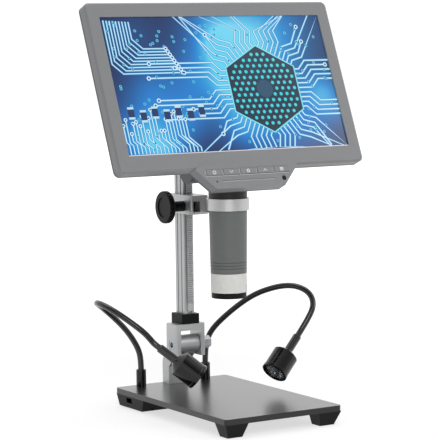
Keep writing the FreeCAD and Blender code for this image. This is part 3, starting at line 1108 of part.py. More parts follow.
KEY_BOARD_FRONT = "(bezel_skin + button_stem + button_travel + 0.2)"
SCREW_SIDE = f"({HALF_WIDTH} - cover_screw_inset)"
COVER_SCREWS = [
    (f"-{SCREW_SIDE}", f"{TOP} - cover_screw_inset"), (SCREW_SIDE, f"{TOP} - cover_screw_inset"),
    (f"-{SCREW_SIDE}", f"{FOOT} + cover_screw_inset"), (SCREW_SIDE, f"{FOOT} + cover_screw_inset"),
    (f"-{SCREW_SIDE}", "0"), (SCREW_SIDE, "0"),
]
PIVOT_DEPTH = "(screen_forward * cos(screen_lean) + screen_rise * sin(screen_lean))"
PIVOT_DROP = "(screen_forward * sin(screen_lean) - screen_rise * cos(screen_lean))"


# Lamps
def rounded_path(spots):
    """Straight runs joined by tangent arcs, each arc as large as its shorter run allows."""
    edges, start = [], spots[0]
    for before, here, after in zip(spots, spots[1:], spots[2:]):
        into, out = (here - before), (after - here)
        reach = 0.47 * min(into.Length, out.Length)
        into.normalize()
        out.normalize()
        turn = into.getAngle(out)
        first, last = here - into * reach, here + out * reach
        radius = reach / math.tan(turn / 2)
        inward = (out - into).normalize()
        middle = here + inward * (radius / math.cos(turn / 2) - radius)
        edges.append(Part.LineSegment(start, first).toShape())
        edges.append(Part.Arc(first, middle, last).toShape())
        start = last
    edges.append(Part.LineSegment(start, spots[-1]).toShape())
    return Part.Wire(edges)


def unit(start, end):
    """Unit vector from one point to another."""
    return (end - start).normalize()


def turned_profile(profile, face, axis):
    """Solid of revolution; profile gives (radius, distance in front of the face)."""
    wire = Part.makePolygon([FreeCAD.Vector(r, 0, z) for r, z in profile + profile[:1]])
    solid = Part.Face(wire).revolve(FreeCAD.Vector(), FreeCAD.Vector(0, 0, 1), 360)
    place = FreeCAD.Placement(face, FreeCAD.Rotation(FreeCAD.Vector(0, 0, 1), axis))
    return solid, place


def build_lamp(side, route, face, back):
    """Socket, gooseneck, collar, head, light board and lens of one lamp."""
    spot = SOCKET_SPOTS[side]
    outer = rod(f"socket_outer_{side}", "z", spot, (PLATE_TOP, f"{PLATE_TOP} + socket_height"),
                "socket_radius")
    soft = round_edges(f"socket_soft_{side}", outer, 0.6, lambda e: isinstance(e.Curve, Part.Circle)
                       and e.CenterOfMass.z > outer.Shape.CenterOfMass.z, "Part::Chamfer")
    stem = rod(f"socket_stem_{side}", "z", spot,
               ("foot_height - socket_nut_height - 0.6", f"{PLATE_TOP} + 1"),
               "stem_radius")
    hole = rod(f"socket_hole_{side}", "z", spot,
               (f"{PLATE_TOP} + socket_height - neck_tube_entry", f"{PLATE_TOP} + socket_height + 1"),
               "neck_tube_radius + bore_gap / 2")
    wire_hole = rod(f"socket_wire_{side}", "z", spot, ("0", f"{PLATE_TOP} + socket_height"), "wire_radius")
    node(cut(f"socket_cut_{side}", fuse(f"socket_made_{side}", soft, stem), hole, wire_hole),
         f"lamp_socket_{side}")

    radius = size("neck_tube_radius")
    grip_back = -size("lamp_length") - size("grip_length")
    entry = grip_back + size("grip_entry")
    wire = size("wire_radius")
    datum = FreeCAD.Vector(0, size("plate_depth") / 2, size("foot_height") + size("plate_thick"))
    middle, axis = datum + FreeCAD.Vector(*face), FreeCAD.Vector(*back).normalize()
    run_in = [middle + axis * reach for reach in (size("grip_entry") - grip_back, -entry)]
    spots = [datum + FreeCAD.Vector(*point) for point in route] + run_in
    path = rounded_path(spots)
    section = Part.Wire(Part.makeCircle(radius, spots[0], unit(spots[0], spots[1])))
    tube = path.makePipeShell([section], True, True)
    print(f"{side} gooseneck: {path.Length:.1f} mm long")
    node(feature(f"gooseneck_made_{side}", tube), f"gooseneck_{side}")

    head_length = size("lamp_length")
    axis = axis * -1
    grip, lamp = size("grip_radius"), size("lamp_radius")
    inner = radius + size("bore_gap")
    collar = [(wire, -head_length), (grip, -head_length), (grip, grip_back + 0.6), (grip - 0.6, grip_back),
              (inner, grip_back), (inner, entry), (wire, entry)]
    solid, place = turned_profile(collar, middle, axis)
    node(feature(f"collar_made_{side}", solid, place), f"lamp_collar_{side}")

    wall, recess = size("lamp_wall"), size("lamp_recess")
    seat_back = -recess - size("lamp_lens_thick")
    cavity_back = seat_back - size("lamp_cavity")
    shoulder = -head_length + size("lamp_shoulder")
    step = lamp - wall - 0.8
    head = [(wire, -head_length), (grip + 1, -head_length), (lamp, shoulder), (lamp, -3.2),
            (lamp + 0.35, -2.8),
            (lamp + 0.35, -0.5), (lamp - 0.2, 0), (lamp - wall, 0), (lamp - wall, seat_back),
            (step, seat_back),
            (step, cavity_back), (wire, cavity_back)]
    solid, place = turned_profile(head, middle, axis)
    node(feature(f"head_made_{side}", solid, place), f"lamp_head_{side}")
    gap = size("bore_gap")
    lens = [(0, seat_back), (lamp - wall - gap, seat_back), (lamp - wall - gap, -recess), (0, -recess)]
    solid, place = turned_profile(lens, middle, axis)
    node(feature(f"lamp_lens_made_{side}", solid, place), f"lamp_lens_{side}")
    chip = cavity_back + size("board_thick")
    board = [(0, cavity_back), (step - gap, cavity_back), (step - gap, chip), (3.2, chip), (3.2, chip + 1.2),
             (1.6, chip + 2.6), (0, chip + 2.9)]
    solid, place = turned_profile(board, middle, axis)
    return feature(f"light_board_{side}", solid, place)


def build_lamps():
    boards = [build_lamp("left", LEFT_NECK, *LEFT_LAMP), build_lamp("right", RIGHT_NECK, *RIGHT_LAMP)]
    node(group("light_boards", *boards), "lamp_boards")
    nuts = []
    for side, sign in SIDES.items():
        spot = SOCKET_SPOTS[side]
        hexagon = prism(f"socket_nut_hex_{side}", "z", spot,
                        ("foot_height - socket_nut_height", "foot_height"),
                        "socket_nut_radius")
        hole = rod(f"socket_nut_hole_{side}", "z", spot, ("0", "foot_height + 1"),
                   "stem_radius + bore_gap / 2")
        nuts.append(cut(f"socket_nut_{side}", hexagon, hole))
    node(group("socket_nuts", *nuts), "socket_nuts")


def write_steps():
    """Check every object, then write one STEP file for each sub-part."""
    doc.recompute()
    faults = [item.Name for item in doc.Objects if {"Invalid", "Error"} & set(item.State)]
    for item in nodes:
        if item.Shape.isNull() or not item.Shape.isValid():
            faults.append(item.Label)
    if faults:
        raise RuntimeError("failed objects: " + ", ".join(faults))
    os.makedirs("parts", exist_ok=True)
    for item in nodes:
        item.Shape.exportStep(f"parts/{item.Label}.step")
        print(f"{item.Label}: {len(item.Shape.Solids)} solids, {item.Shape.Volume:.1f} mm3")
    print(len(nodes), "sub-parts")


build_base_plate()
build_feet()
build_driver_case()
build_base_screws()
build_hinge()
build_mast()
build_rack()
build_carriage()
build_knob()
build_tube()
build_screen()
build_lamps()
write_steps()
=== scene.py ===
"""Studio scene of a digital microscope with a tilting screen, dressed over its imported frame."""

import json
import logging
import math
from dataclasses import dataclass, field
from enum import Enum

import bpy
import numpy as np
from mathutils import Matrix, Vector

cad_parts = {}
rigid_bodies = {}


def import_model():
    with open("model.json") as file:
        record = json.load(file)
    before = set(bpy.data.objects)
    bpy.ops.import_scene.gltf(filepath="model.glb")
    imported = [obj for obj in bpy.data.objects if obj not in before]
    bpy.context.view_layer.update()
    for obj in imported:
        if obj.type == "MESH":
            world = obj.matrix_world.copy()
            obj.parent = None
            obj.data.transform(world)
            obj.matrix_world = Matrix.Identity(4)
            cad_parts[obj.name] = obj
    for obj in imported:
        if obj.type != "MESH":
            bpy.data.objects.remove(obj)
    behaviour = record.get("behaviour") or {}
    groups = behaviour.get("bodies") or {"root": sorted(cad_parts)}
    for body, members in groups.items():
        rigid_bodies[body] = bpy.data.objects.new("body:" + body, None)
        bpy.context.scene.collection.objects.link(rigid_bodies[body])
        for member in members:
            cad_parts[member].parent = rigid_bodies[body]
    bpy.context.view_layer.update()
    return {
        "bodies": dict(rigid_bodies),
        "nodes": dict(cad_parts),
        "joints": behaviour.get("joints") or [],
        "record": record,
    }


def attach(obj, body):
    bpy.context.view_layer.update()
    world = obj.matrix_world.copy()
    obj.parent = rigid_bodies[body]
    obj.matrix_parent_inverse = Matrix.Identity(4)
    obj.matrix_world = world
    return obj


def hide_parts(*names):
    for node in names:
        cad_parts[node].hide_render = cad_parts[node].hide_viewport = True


LOG = logging.getLogger("microscope")
MM = 0.001
Colour = tuple[float, float, float]
PALE: Colour = (206, 240, 250)
HALO: Colour = (30, 150, 214)
WELL: Colour = (16, 70, 160)
# Colour of the painted shade in the gaps between a rack's teeth.
TEETH_GAP_SHADE: Colour = (0.2, 0.2, 0.2)
MIX_SHARE, MIX_FIRST, MIX_SECOND, MIX_RESULT = 0, 6, 7, 2


def linear(grey_or_rgb: float | Colour) -> Colour:
    """Turn display values from 0 to 255 into linear light.

    Args:
        grey_or_rgb: One grey value, or three display values.

    Returns:
        Three linear values.
    """
    values = np.broadcast_to(np.asarray(grey_or_rgb, float) / 255, 3)
    light = np.where(values <= 0.04045, values / 12.92, ((values + 0.055) / 1.055) ** 2.4)
    return tuple(float(v) for v in light)


class Grain(Enum):
    """Direction of the fine texture in a finish, as stretches of the noise along X, Y and Z."""

    EVEN = (1.0, 1.0, 1.0)
    ALONG_Z = (1.0, 1.0, 0.02)
    ACROSS_Z = (0.04, 0.04, 1.0)


@dataclass(frozen=True)
class Finish:
    """A surface finish made from noise in object coordinates.

    Attributes:
        colour: Display value or values of the base colour.
        roughness: Middle roughness.
        metallic: 1 for bare metal.
        grain: Direction of the texture.
        scale: Noise cells per metre.
        mottle: Share by which the colour varies.
        sheen_range: How far the roughness varies each way.
        bump: Height of the relief in metres.
        coat: Weight of a clear coat.
        see_through: Transmission weight.
        subsurface: Weight of scattering under the surface.
        specular: Level of the plain reflection, 0.5 for common plastics.
        coat_roughness: Roughness of the clear coat.
        coat_ior: Index of refraction of the clear coat, lower for a face that only shines at a low angle.
        shade: First and last Y, in metres, between which the colour darkens, as painted shade in the gaps
            between a rack's teeth.
    """

    colour: float | Colour
    roughness: float
    metallic: float = 0.0
    grain: Grain = Grain.EVEN
    scale: float = 900.0
    mottle: float = 0.06
    sheen_range: float = 0.05
    bump: float = 0.00002
    coat: float = 0.0
    see_through: float = 0.0
    subsurface: float = 0.0
    specular: float = 0.5
    coat_roughness: float = 0.08
    coat_ior: float = 1.5
    shade: tuple[float, float] | None = None

    def material(self, name: str) -> bpy.types.Material:
        """Build the node material.

        Args:
            name: Name of the material.

        Returns:
            The material.
        """
        made = bpy.data.materials.new(name)
        made.use_nodes = True
        nodes, links = made.node_tree.nodes, made.node_tree.links
        shader = nodes["Principled BSDF"]
        place = nodes.new("ShaderNodeTexCoord")
        stretch = nodes.new("ShaderNodeMapping")
        stretch.inputs["Scale"].default_value = self.grain.value
        links.new(place.outputs["Object"], stretch.inputs["Vector"])
        noise = nodes.new("ShaderNodeTexNoise")
        noise.inputs["Scale"].default_value = self.scale
        noise.inputs["Detail"].default_value = 3
        links.new(stretch.outputs["Vector"], noise.inputs["Vector"])
        tint = nodes.new("ShaderNodeValToRGB")
        base = np.array(linear(self.colour))
        for stop, share in zip(tint.color_ramp.elements, (1 - self.mottle, 1 + self.mottle)):
            stop.color = (*np.clip(base * share, 0, 1), 1)
        tint.color_ramp.elements[0].position = 0.35
        tint.color_ramp.elements[1].position = 0.65
        links.new(noise.outputs["Fac"], tint.inputs["Fac"])
        colour = tint.outputs["Color"]
        # Painted shade: the colour darkens with depth into the gaps between teeth.
        if self.shade:
            colour = self.darkened(nodes, links, place.outputs["Object"], colour)
        links.new(colour, shader.inputs["Base Color"])
        spread = nodes.new("ShaderNodeMapRange")
        spread.inputs["To Min"].default_value = max(0.02, self.roughness - self.sheen_range)
        spread.inputs["To Max"].default_value = min(1.0, self.roughness + self.sheen_range)
        links.new(noise.outputs["Fac"], spread.inputs["Value"])
        links.new(spread.outputs["Result"], shader.inputs["Roughness"])
        relief = nodes.new("ShaderNodeBump")
        relief.inputs["Distance"].default_value = self.bump
        relief.inputs["Strength"].default_value = 0.6
        links.new(noise.outputs["Fac"], relief.inputs["Height"])
        links.new(relief.outputs["Normal"], shader.inputs["Normal"])
        shader.inputs["Metallic"].default_value = self.metallic
        shader.inputs["Specular IOR Level"].default_value = self.specular
        shader.inputs["Coat Weight"].default_value = self.coat
        shader.inputs["Coat Roughness"].default_value = self.coat_roughness
        shader.inputs["Coat IOR"].default_value = self.coat_ior
        shader.inputs["Transmission Weight"].default_value = self.see_through
        shader.inputs["Subsurface Weight"].default_value = self.subsurface
        shader.inputs["Subsurface Radius"].default_value = (0.006, 0.006, 0.006)
        return made

    def darkened(self, nodes: bpy.types.Nodes, links: bpy.types.NodeLinks, place: bpy.types.NodeSocket,
                 colour: bpy.types.NodeSocket) -> bpy.types.NodeSocket:
        """Darken a colour with depth along Y: painted shade in the gaps between a rack's teeth.

        Args:
            nodes: Nodes of the tree.
            links: Links of the tree.
            place: Object coordinates.
            colour: Colour of the unshaded metal.

        Returns:
            The darkened colour.
        """
        split = nodes.new("ShaderNodeSeparateXYZ")
        links.new(place, split.inputs["Vector"])
        depth = nodes.new("ShaderNodeMapRange")
        depth.inputs["From Min"].default_value, depth.inputs["From Max"].default_value = self.shade
        links.new(split.outputs["Y"], depth.inputs["Value"])
        mix = nodes.new("ShaderNodeMix")
        mix.data_type = "RGBA"
        mix.inputs[MIX_SECOND].default_value = (*TEETH_GAP_SHADE, 1)
        links.new(depth.outputs["Result"], mix.inputs[MIX_SHARE])
        links.new(colour, mix.inputs[MIX_FIRST])
        return mix.outputs[MIX_RESULT]


class Surface(Enum):
    """The finishes of this instrument."""

    BASE_COAT = Finish(16, 0.36, scale=1800, bump=0.00001, mottle=0.05, coat=1.0, coat_roughness=0.26,
                       sheen_range=0.03, specular=0.12, coat_ior=1.43)
    MOULDED_BLACK = Finish(10, 0.42, scale=2200, specular=0.16)
    SOFT_BLACK = Finish(14, 0.26, scale=1500, specular=0.4, sheen_range=0.06, coat=0.5, coat_roughness=0.12)
    LAMP_BLACK = Finish(4, 0.15, coat=0.25, coat_roughness=0.08, specular=0.28, scale=700, sheen_range=0.03)
    NECK_BLACK = Finish((33, 36, 34), 0.42, scale=1600, specular=0.3)
    SLEEVE_GREY = Finish((96, 100, 98), 0.42, scale=2400, grain=Grain.ACROSS_Z, specular=0.35)
    CASE_GREY = Finish((121, 122, 124), 0.38, scale=2600, bump=0.000015)
    COVER_GREY = Finish((92, 93, 95), 0.5, scale=2600, bump=0.00002, specular=0.35)
    SATIN_SILVER = Finish((186, 187, 188), 0.36, metallic=0.65, scale=1400, bump=0.00001)
    DRAWN_SILVER = Finish((182, 183, 184), 0.4, metallic=0.6, grain=Grain.ALONG_Z, scale=5000,
                          sheen_range=0.08)
    TURNED_SILVER = Finish((184, 184, 185), 0.36, metallic=0.9, grain=Grain.ACROSS_Z, scale=5000,
                           sheen_range=0.06)
    # The rack darkens towards the roots of its teeth: painted shade in the gaps.
    RACK_SILVER = Finish((204, 205, 206), 0.42, metallic=0.3, scale=3000, shade=(0.0572, 0.0594))
    STEEL = Finish((170, 172, 176), 0.28, metallic=1.0, scale=1200)
    MILKY = Finish((212, 212, 209), 0.35, scale=300, mottle=0.02, subsurface=0.4)
    CLEAR = Finish((236, 242, 245), 0.04, scale=200, mottle=0.01, bump=0.0, see_through=0.95)
    LENS = Finish((190, 205, 225), 0.03, scale=200, mottle=0.01, bump=0.0, see_through=0.8, coat=0.5)
    BOARD = Finish((28, 84, 52), 0.35, scale=1100, mottle=0.15, coat=0.3)
    PANEL = Finish((24, 28, 36), 0.12, scale=600)
    MIRROR = Finish((208, 210, 214), 0.2, metallic=1.0, scale=900, sheen_range=0.04)
    PHOSPHOR = Finish((222, 212, 150), 0.4, scale=1800)
    PIPE_GREEN = Finish((40, 70, 46), 0.2, scale=900)
    SMOKE = Finish((10, 8, 9), 0.15, scale=900, specular=0.2)
    INK = Finish((236, 238, 240), 0.5, scale=3000)
    # Light grey of the chin's painted highlight strips.
    EDGE_LINE = Finish((196, 197, 199), 0.35, scale=2600)


NODE_FINISH: dict[Surface, tuple[str, ...]] = {
    Surface.BASE_COAT: ("base_plate",),
    Surface.MOULDED_BLACK: ("front_foot_left", "front_foot_right", "driver_case", "focus_knob", "mast_collar",
                            "mast_cap", "shaft_bushes", "end_ring"),
    Surface.SOFT_BLACK: ("rear_pads", "gooseneck_left", "gooseneck_right", "lamp_collar_left",
                         "lamp_collar_right"),
    Surface.LAMP_BLACK: ("lamp_head_left", "lamp_head_right", "lamp_socket_left", "lamp_socket_right",
                         "pinion_shaft", "lens_carrier"),
    Surface.NECK_BLACK: ("tube_body",),
    Surface.SLEEVE_GREY: ("focus_sleeve",),
    Surface.CASE_GREY: ("front_bezel", "power_button", "down_button", "enter_button", "up_button",
                        "menu_button"),
    Surface.COVER_GREY: ("rear_cover",),
    Surface.SATIN_SILVER: ("hinge_bracket", "hinge_fork", "carriage"),
    Surface.DRAWN_SILVER: ("mast", "rack_stop"),
    Surface.RACK_SILVER: ("rack",),
    Surface.TURNED_SILVER: ("tube_ring",),
    Surface.STEEL: ("hinge_bolt", "hinge_washer", "hinge_nut", "mast_screw", "base_screws", "bracket_screws",
                    "tilt_pins", "cover_screws", "ring_screw", "arm_screws", "socket_nuts", "power_socket"),
    Surface.MILKY: ("diffuser_ring",),
    Surface.CLEAR: ("lamp_lens_left", "lamp_lens_right"),
    Surface.LENS: ("objective_lens",),
    Surface.BOARD: ("lamp_driver_board", "camera_board", "main_board", "key_board", "lamp_boards"),
    Surface.PANEL: ("lcd_panel",),
    Surface.PIPE_GREEN: ("status_light",),
    Surface.SMOKE: ("receiver_window",),
}


class Workshop:
    """Makes materials once and meshes from numpy arrays."""

    def __init__(self) -> None:
        """Start with no materials."""
        self.materials: dict[Surface, bpy.types.Material] = {}

    def material(self, surface: Surface) -> bpy.types.Material:
        """Return the material of a finish, made on first use."""
        if surface not in self.materials:
            self.materials[surface] = surface.value.material(surface.name.lower())
        return self.materials[surface]

    def mesh(self, name: str, points: np.ndarray, faces: np.ndarray | list, body: str,
             material: bpy.types.Material, smooth: bool = True) -> bpy.types.Object:
        """Make a piece that rides on a body.

        Args:
            name: Name of the piece.
            points: Corner points in metres, one row each.
            faces: Rows of corner numbers.
            body: Body of the frame that carries the piece.
            material: Its finish.
            smooth: Whether faces shade smoothly.

        Returns:
            The new object.
        """
        made = bpy.data.meshes.new(name)
        made.from_pydata(np.asarray(points, float).tolist(), [], [list(map(int, row)) for row in faces])
        made.update()
        made.polygons.foreach_set("use_smooth", np.full(len(made.polygons), smooth))
        made.materials.append(material)
        piece = bpy.data.objects.new(name, made)
        bpy.context.scene.collection.objects.link(piece)
        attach(piece, body)
        LOG.info("%s: %d faces on %s", name, len(made.polygons), body)
        return piece

    def dress_frame(self, frame: dict) -> None:
        """Give every node of the frame its finish.

        Args:
            frame: What the frame's load call returned.
        """
        for surface, names in NODE_FINISH.items():
            for name in names:
                node = frame["nodes"][name]
                if not node.material_slots:
                    node.data.materials.append(None)
                for slot in node.material_slots:
                    slot.material = self.material(surface)


def grid_faces(rows: int, columns: int, close_rows: bool = False, close_columns: bool = False) -> np.ndarray:
    """Corner numbers of the quads of a grid of points.

    Each quad joins a point to the next along the row and along the column; a closed direction wraps round.

    Args:
        rows: Points along the first parameter.
        columns: Points along the second parameter.
        close_rows: Whether the last row joins the first.
        close_columns: Whether the last column joins the first.

    Returns:
        An array with four corner numbers a row.
    """
    i = np.arange(rows if close_rows else rows - 1)[:, None]
    j = np.arange(columns if close_columns else columns - 1)[None, :]
    after_i, after_j = (i + 1) % rows, (j + 1) % columns
    quads = np.stack([i * columns + j, i * columns + after_j, after_i * columns + after_j,
                      after_i * columns + j], -1)
    return quads.reshape(-1, 4)


def axis_frame(axis: np.ndarray) -> tuple[np.ndarray, np.ndarray, np.ndarray]:
    """Two unit vectors across an axis, and the axis itself at unit length."""
    axis = axis / np.linalg.norm(axis)
    side = np.cross(axis, (0.0, 0.0, 1.0) if abs(axis[2]) < 0.95 else (1.0, 0.0, 0.0))
    side /= np.linalg.norm(side)
    return side, np.cross(axis, side), axis


def turned(profile: np.ndarray, origin: np.ndarray, axis: np.ndarray,
           around: int = 64) -> tuple[np.ndarray, np.ndarray]:
    """Turn a profile round an axis.

    A profile row (r, d) at turn a lies at origin plus d along the axis plus r times (side cos a + up sin a).

    Args:
        profile: Rows of radius and distance along the axis, in metres.
        origin: Where distance is nought.
        axis: Direction of the axis.
        around: Points in each circle.

    Returns:
        The points and the faces.
    """
    side, up, along = axis_frame(np.asarray(axis, float))
    angle = np.linspace(0, 2 * np.pi, around, endpoint=False)
    circle = np.cos(angle)[:, None] * side + np.sin(angle)[:, None] * up
    radius, distance = profile[:, 0], profile[:, 1]
    points = origin + distance[:, None, None] * along + radius[:, None, None] * circle[None]
    return points.reshape(-1, 3), grid_faces(len(profile), around, close_columns=True)


@dataclass
class Gooseneck:
    """Flexible arm: finely ridged tube along a smooth line.

    Attributes:
        side: Left or right, as in the node's name.
        route: Corner points in millimetres.
        lamp_face: Middle of the lamp's rim in millimetres.
        lamp_back: Direction from the rim back along the lamp.
    """

    side: str
    route: tuple[Colour, ...]
    lamp_face: Colour
    lamp_back: Colour
    radius: float = 2.74
    ridge_depth: float = 0.06
    ridge_pitch: float = 1.5
    step: float = 0.375
    around: int = 20
    head_length: float = 26.0
    grip_length: float = 17.5
    grip_entry: float = 6.0

    def corners(self) -> np.ndarray:
        """Route, evened once, with its run into the lamp's collar: three more points on the lamp's axis.

        Each point but the first three and the last is moved to a quarter, a half and a quarter of its
        neighbours and itself.
        """
        back = np.array(self.lamp_back) / np.linalg.norm(self.lamp_back)
        start = self.head_length + self.grip_length
        reaches = (start + 7.0, start + 2.0, start - self.grip_entry)
        run_in = [np.array(self.lamp_face) + back * reach for reach in reaches]
        route = np.array(self.route, float)
        route[3:-1] = route[2:-2] / 4 + route[3:-1] / 2 + route[4:] / 4
        return np.vstack([route, run_in])

    def line(self) -> np.ndarray:
        """Middle line at even steps.

        The line is a cubic B-spline with the corners as its control points and its ends repeated, so that it
        starts and ends on them. A point of a span is the sum of four control points times (1-t)^3/6,
        (3t^3-6t^2+4)/6, (-3t^3+3t^2+3t+1)/6 and t^3/6.

        Returns:
            Points in millimetres.
        """
        corners = self.corners()
        held = np.vstack([corners[:1], corners[:1], corners, corners[-1:], corners[-1:]])
        t = np.linspace(0, 1, 40, endpoint=False)[:, None, None]
        weights = (
            (1 - t) ** 3 / 6,
            (3 * t ** 3 - 6 * t ** 2 + 4) / 6,
            (-3 * t ** 3 + 3 * t ** 2 + 3 * t + 1) / 6,
            t ** 3 / 6,
        )
        spans = len(held) - 3
        points = sum(weight * held[k:k + spans][None] for k, weight in enumerate(weights))
        points = np.vstack([points.transpose(1, 0, 2).reshape(-1, 3), corners[-1:]])
        gone = np.concatenate([[0], np.cumsum(np.linalg.norm(np.diff(points, axis=0), axis=1))])
        keep = np.concatenate([[True], np.diff(gone) > 1e-6])
        even = np.arange(0, gone[-1], self.step)
        return np.stack([np.interp(even, gone[keep], points[keep, k]) for k in range(3)], 1)

    def build(self, shop: Workshop) -> bpy.types.Object:
        """Make the ridged tube.

        The section is a circle carried along the line, turned as little as it can be from point to point. Its
        radius dips by the ridge depth once each pitch.

        Args:
            shop: Maker of meshes and materials.

        Returns:
            The tube.
        """
        line = self.line()
        tangent = np.gradient(line, axis=0)
        tangent /= np.linalg.norm(tangent, axis=1)[:, None]
        sides = [axis_frame(tangent[0])[0]]
        for along in tangent[1:]:
            side = sides[-1] - along * (sides[-1] @ along)
            sides.append(side / np.linalg.norm(side))
        side = np.array(sides)
        up = np.cross(tangent, side)
        travel = np.arange(len(line)) * self.step
        radius = self.radius - self.ridge_depth * (0.5 - 0.5 * np.cos(2 * np.pi * travel / self.ridge_pitch))
        angle = np.linspace(0, 2 * np.pi, self.around, endpoint=False)
        circle = np.cos(angle)[None, :, None] * side[:, None] + np.sin(angle)[None, :, None] * up[:, None]
        points = (line[:, None] + radius[:, None, None] * circle).reshape(-1, 3)
        faces = grid_faces(len(line), self.around, close_columns=True).tolist()
        last = (len(line) - 1) * self.around
        faces += [list(range(self.around))[::-1], list(range(last, last + self.around))]
        piece = shop.mesh(f"gooseneck_tube_{self.side}", points * MM, faces, "base",
                          shop.material(Surface.SOFT_BLACK))
        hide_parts(f"gooseneck_{self.side}")
        return piece


@dataclass
class LampOptics:
    """Mirror bowl and light chip inside a lamp head."""

    side: str
    face: Colour
    back: Colour
    mouth_radius: float = 9.15
    mouth_depth: float = 4.1
    throat_radius: float = 3.5
    throat_depth: float = 14.2
    chip_radius: float = 2.6
    chip_front: float = 12.6

    def build(self, shop: Workshop) -> None:
        """Make the bowl and the chip.

        The bowl's radius grows with the square root of the way from the throat to the mouth, and its wall is
        0.3 mm thick. The chip is a low dome: a quarter of an ellipse turned round the axis.

        Args:
            shop: Maker of meshes and materials.
        """
        origin, axis = np.array(self.face) * MM, np.array(self.back)
        share = np.linspace(0, 1, 24)
        radius = self.throat_radius + (self.mouth_radius - self.throat_radius) * np.sqrt(share)
        depth = self.throat_depth + (self.mouth_depth - self.throat_depth) * share
        inside = np.stack([radius - 0.3, depth], 1)[::-1]
        outside = np.stack([radius, depth + 0.05], 1)
        profile = np.vstack([inside, outside, inside[:1]]) * MM
        points, faces = turned(profile, origin, axis)
        shop.mesh(f"lamp_bowl_{self.side}", points, faces, "base",
                  shop.material(Surface.MIRROR))
        lift = np.linspace(0, np.pi / 2, 10)
        height = self.chip_front + 1.7 * (1 - np.sin(lift))
        dome = np.stack([self.chip_radius * np.cos(lift) + 1e-3, height], 1)
        points, faces = turned(dome[::-1] * MM, origin, axis, 32)
        shop.mesh(f"lamp_chip_{self.side}", points, faces, "base", shop.material(Surface.PHOSPHOR))


@dataclass
class ScreenFrame:
    """Plane of the picture: its middle and its lean, in millimetres and degrees."""

    middle: Colour = (0.0, -9.35, 293.07)
    lean: float = 22.73

    def place(self, flat: np.ndarray, depth: float | np.ndarray) -> np.ndarray:
        """Put flat points on a plane parallel to the picture.

        A point (x, v) at depth d lies at the middle plus x to the right, d along the plane's back normal and
        v up the plane.

        Args:
            flat: Rows of distance right and up, in millimetres.
            depth: Distance behind the front of the bezel, in millimetres.

        Returns:
            Points in metres.
        """
        lean = math.radians(self.lean)
        depth = np.broadcast_to(depth, len(flat))
        y = self.middle[1] + depth * math.cos(lean) + flat[:, 1] * math.sin(lean)
        z = self.middle[2] - depth * math.sin(lean) + flat[:, 1] * math.cos(lean)
        return np.stack([self.middle[0] + flat[:, 0], y, z], 1) * MM


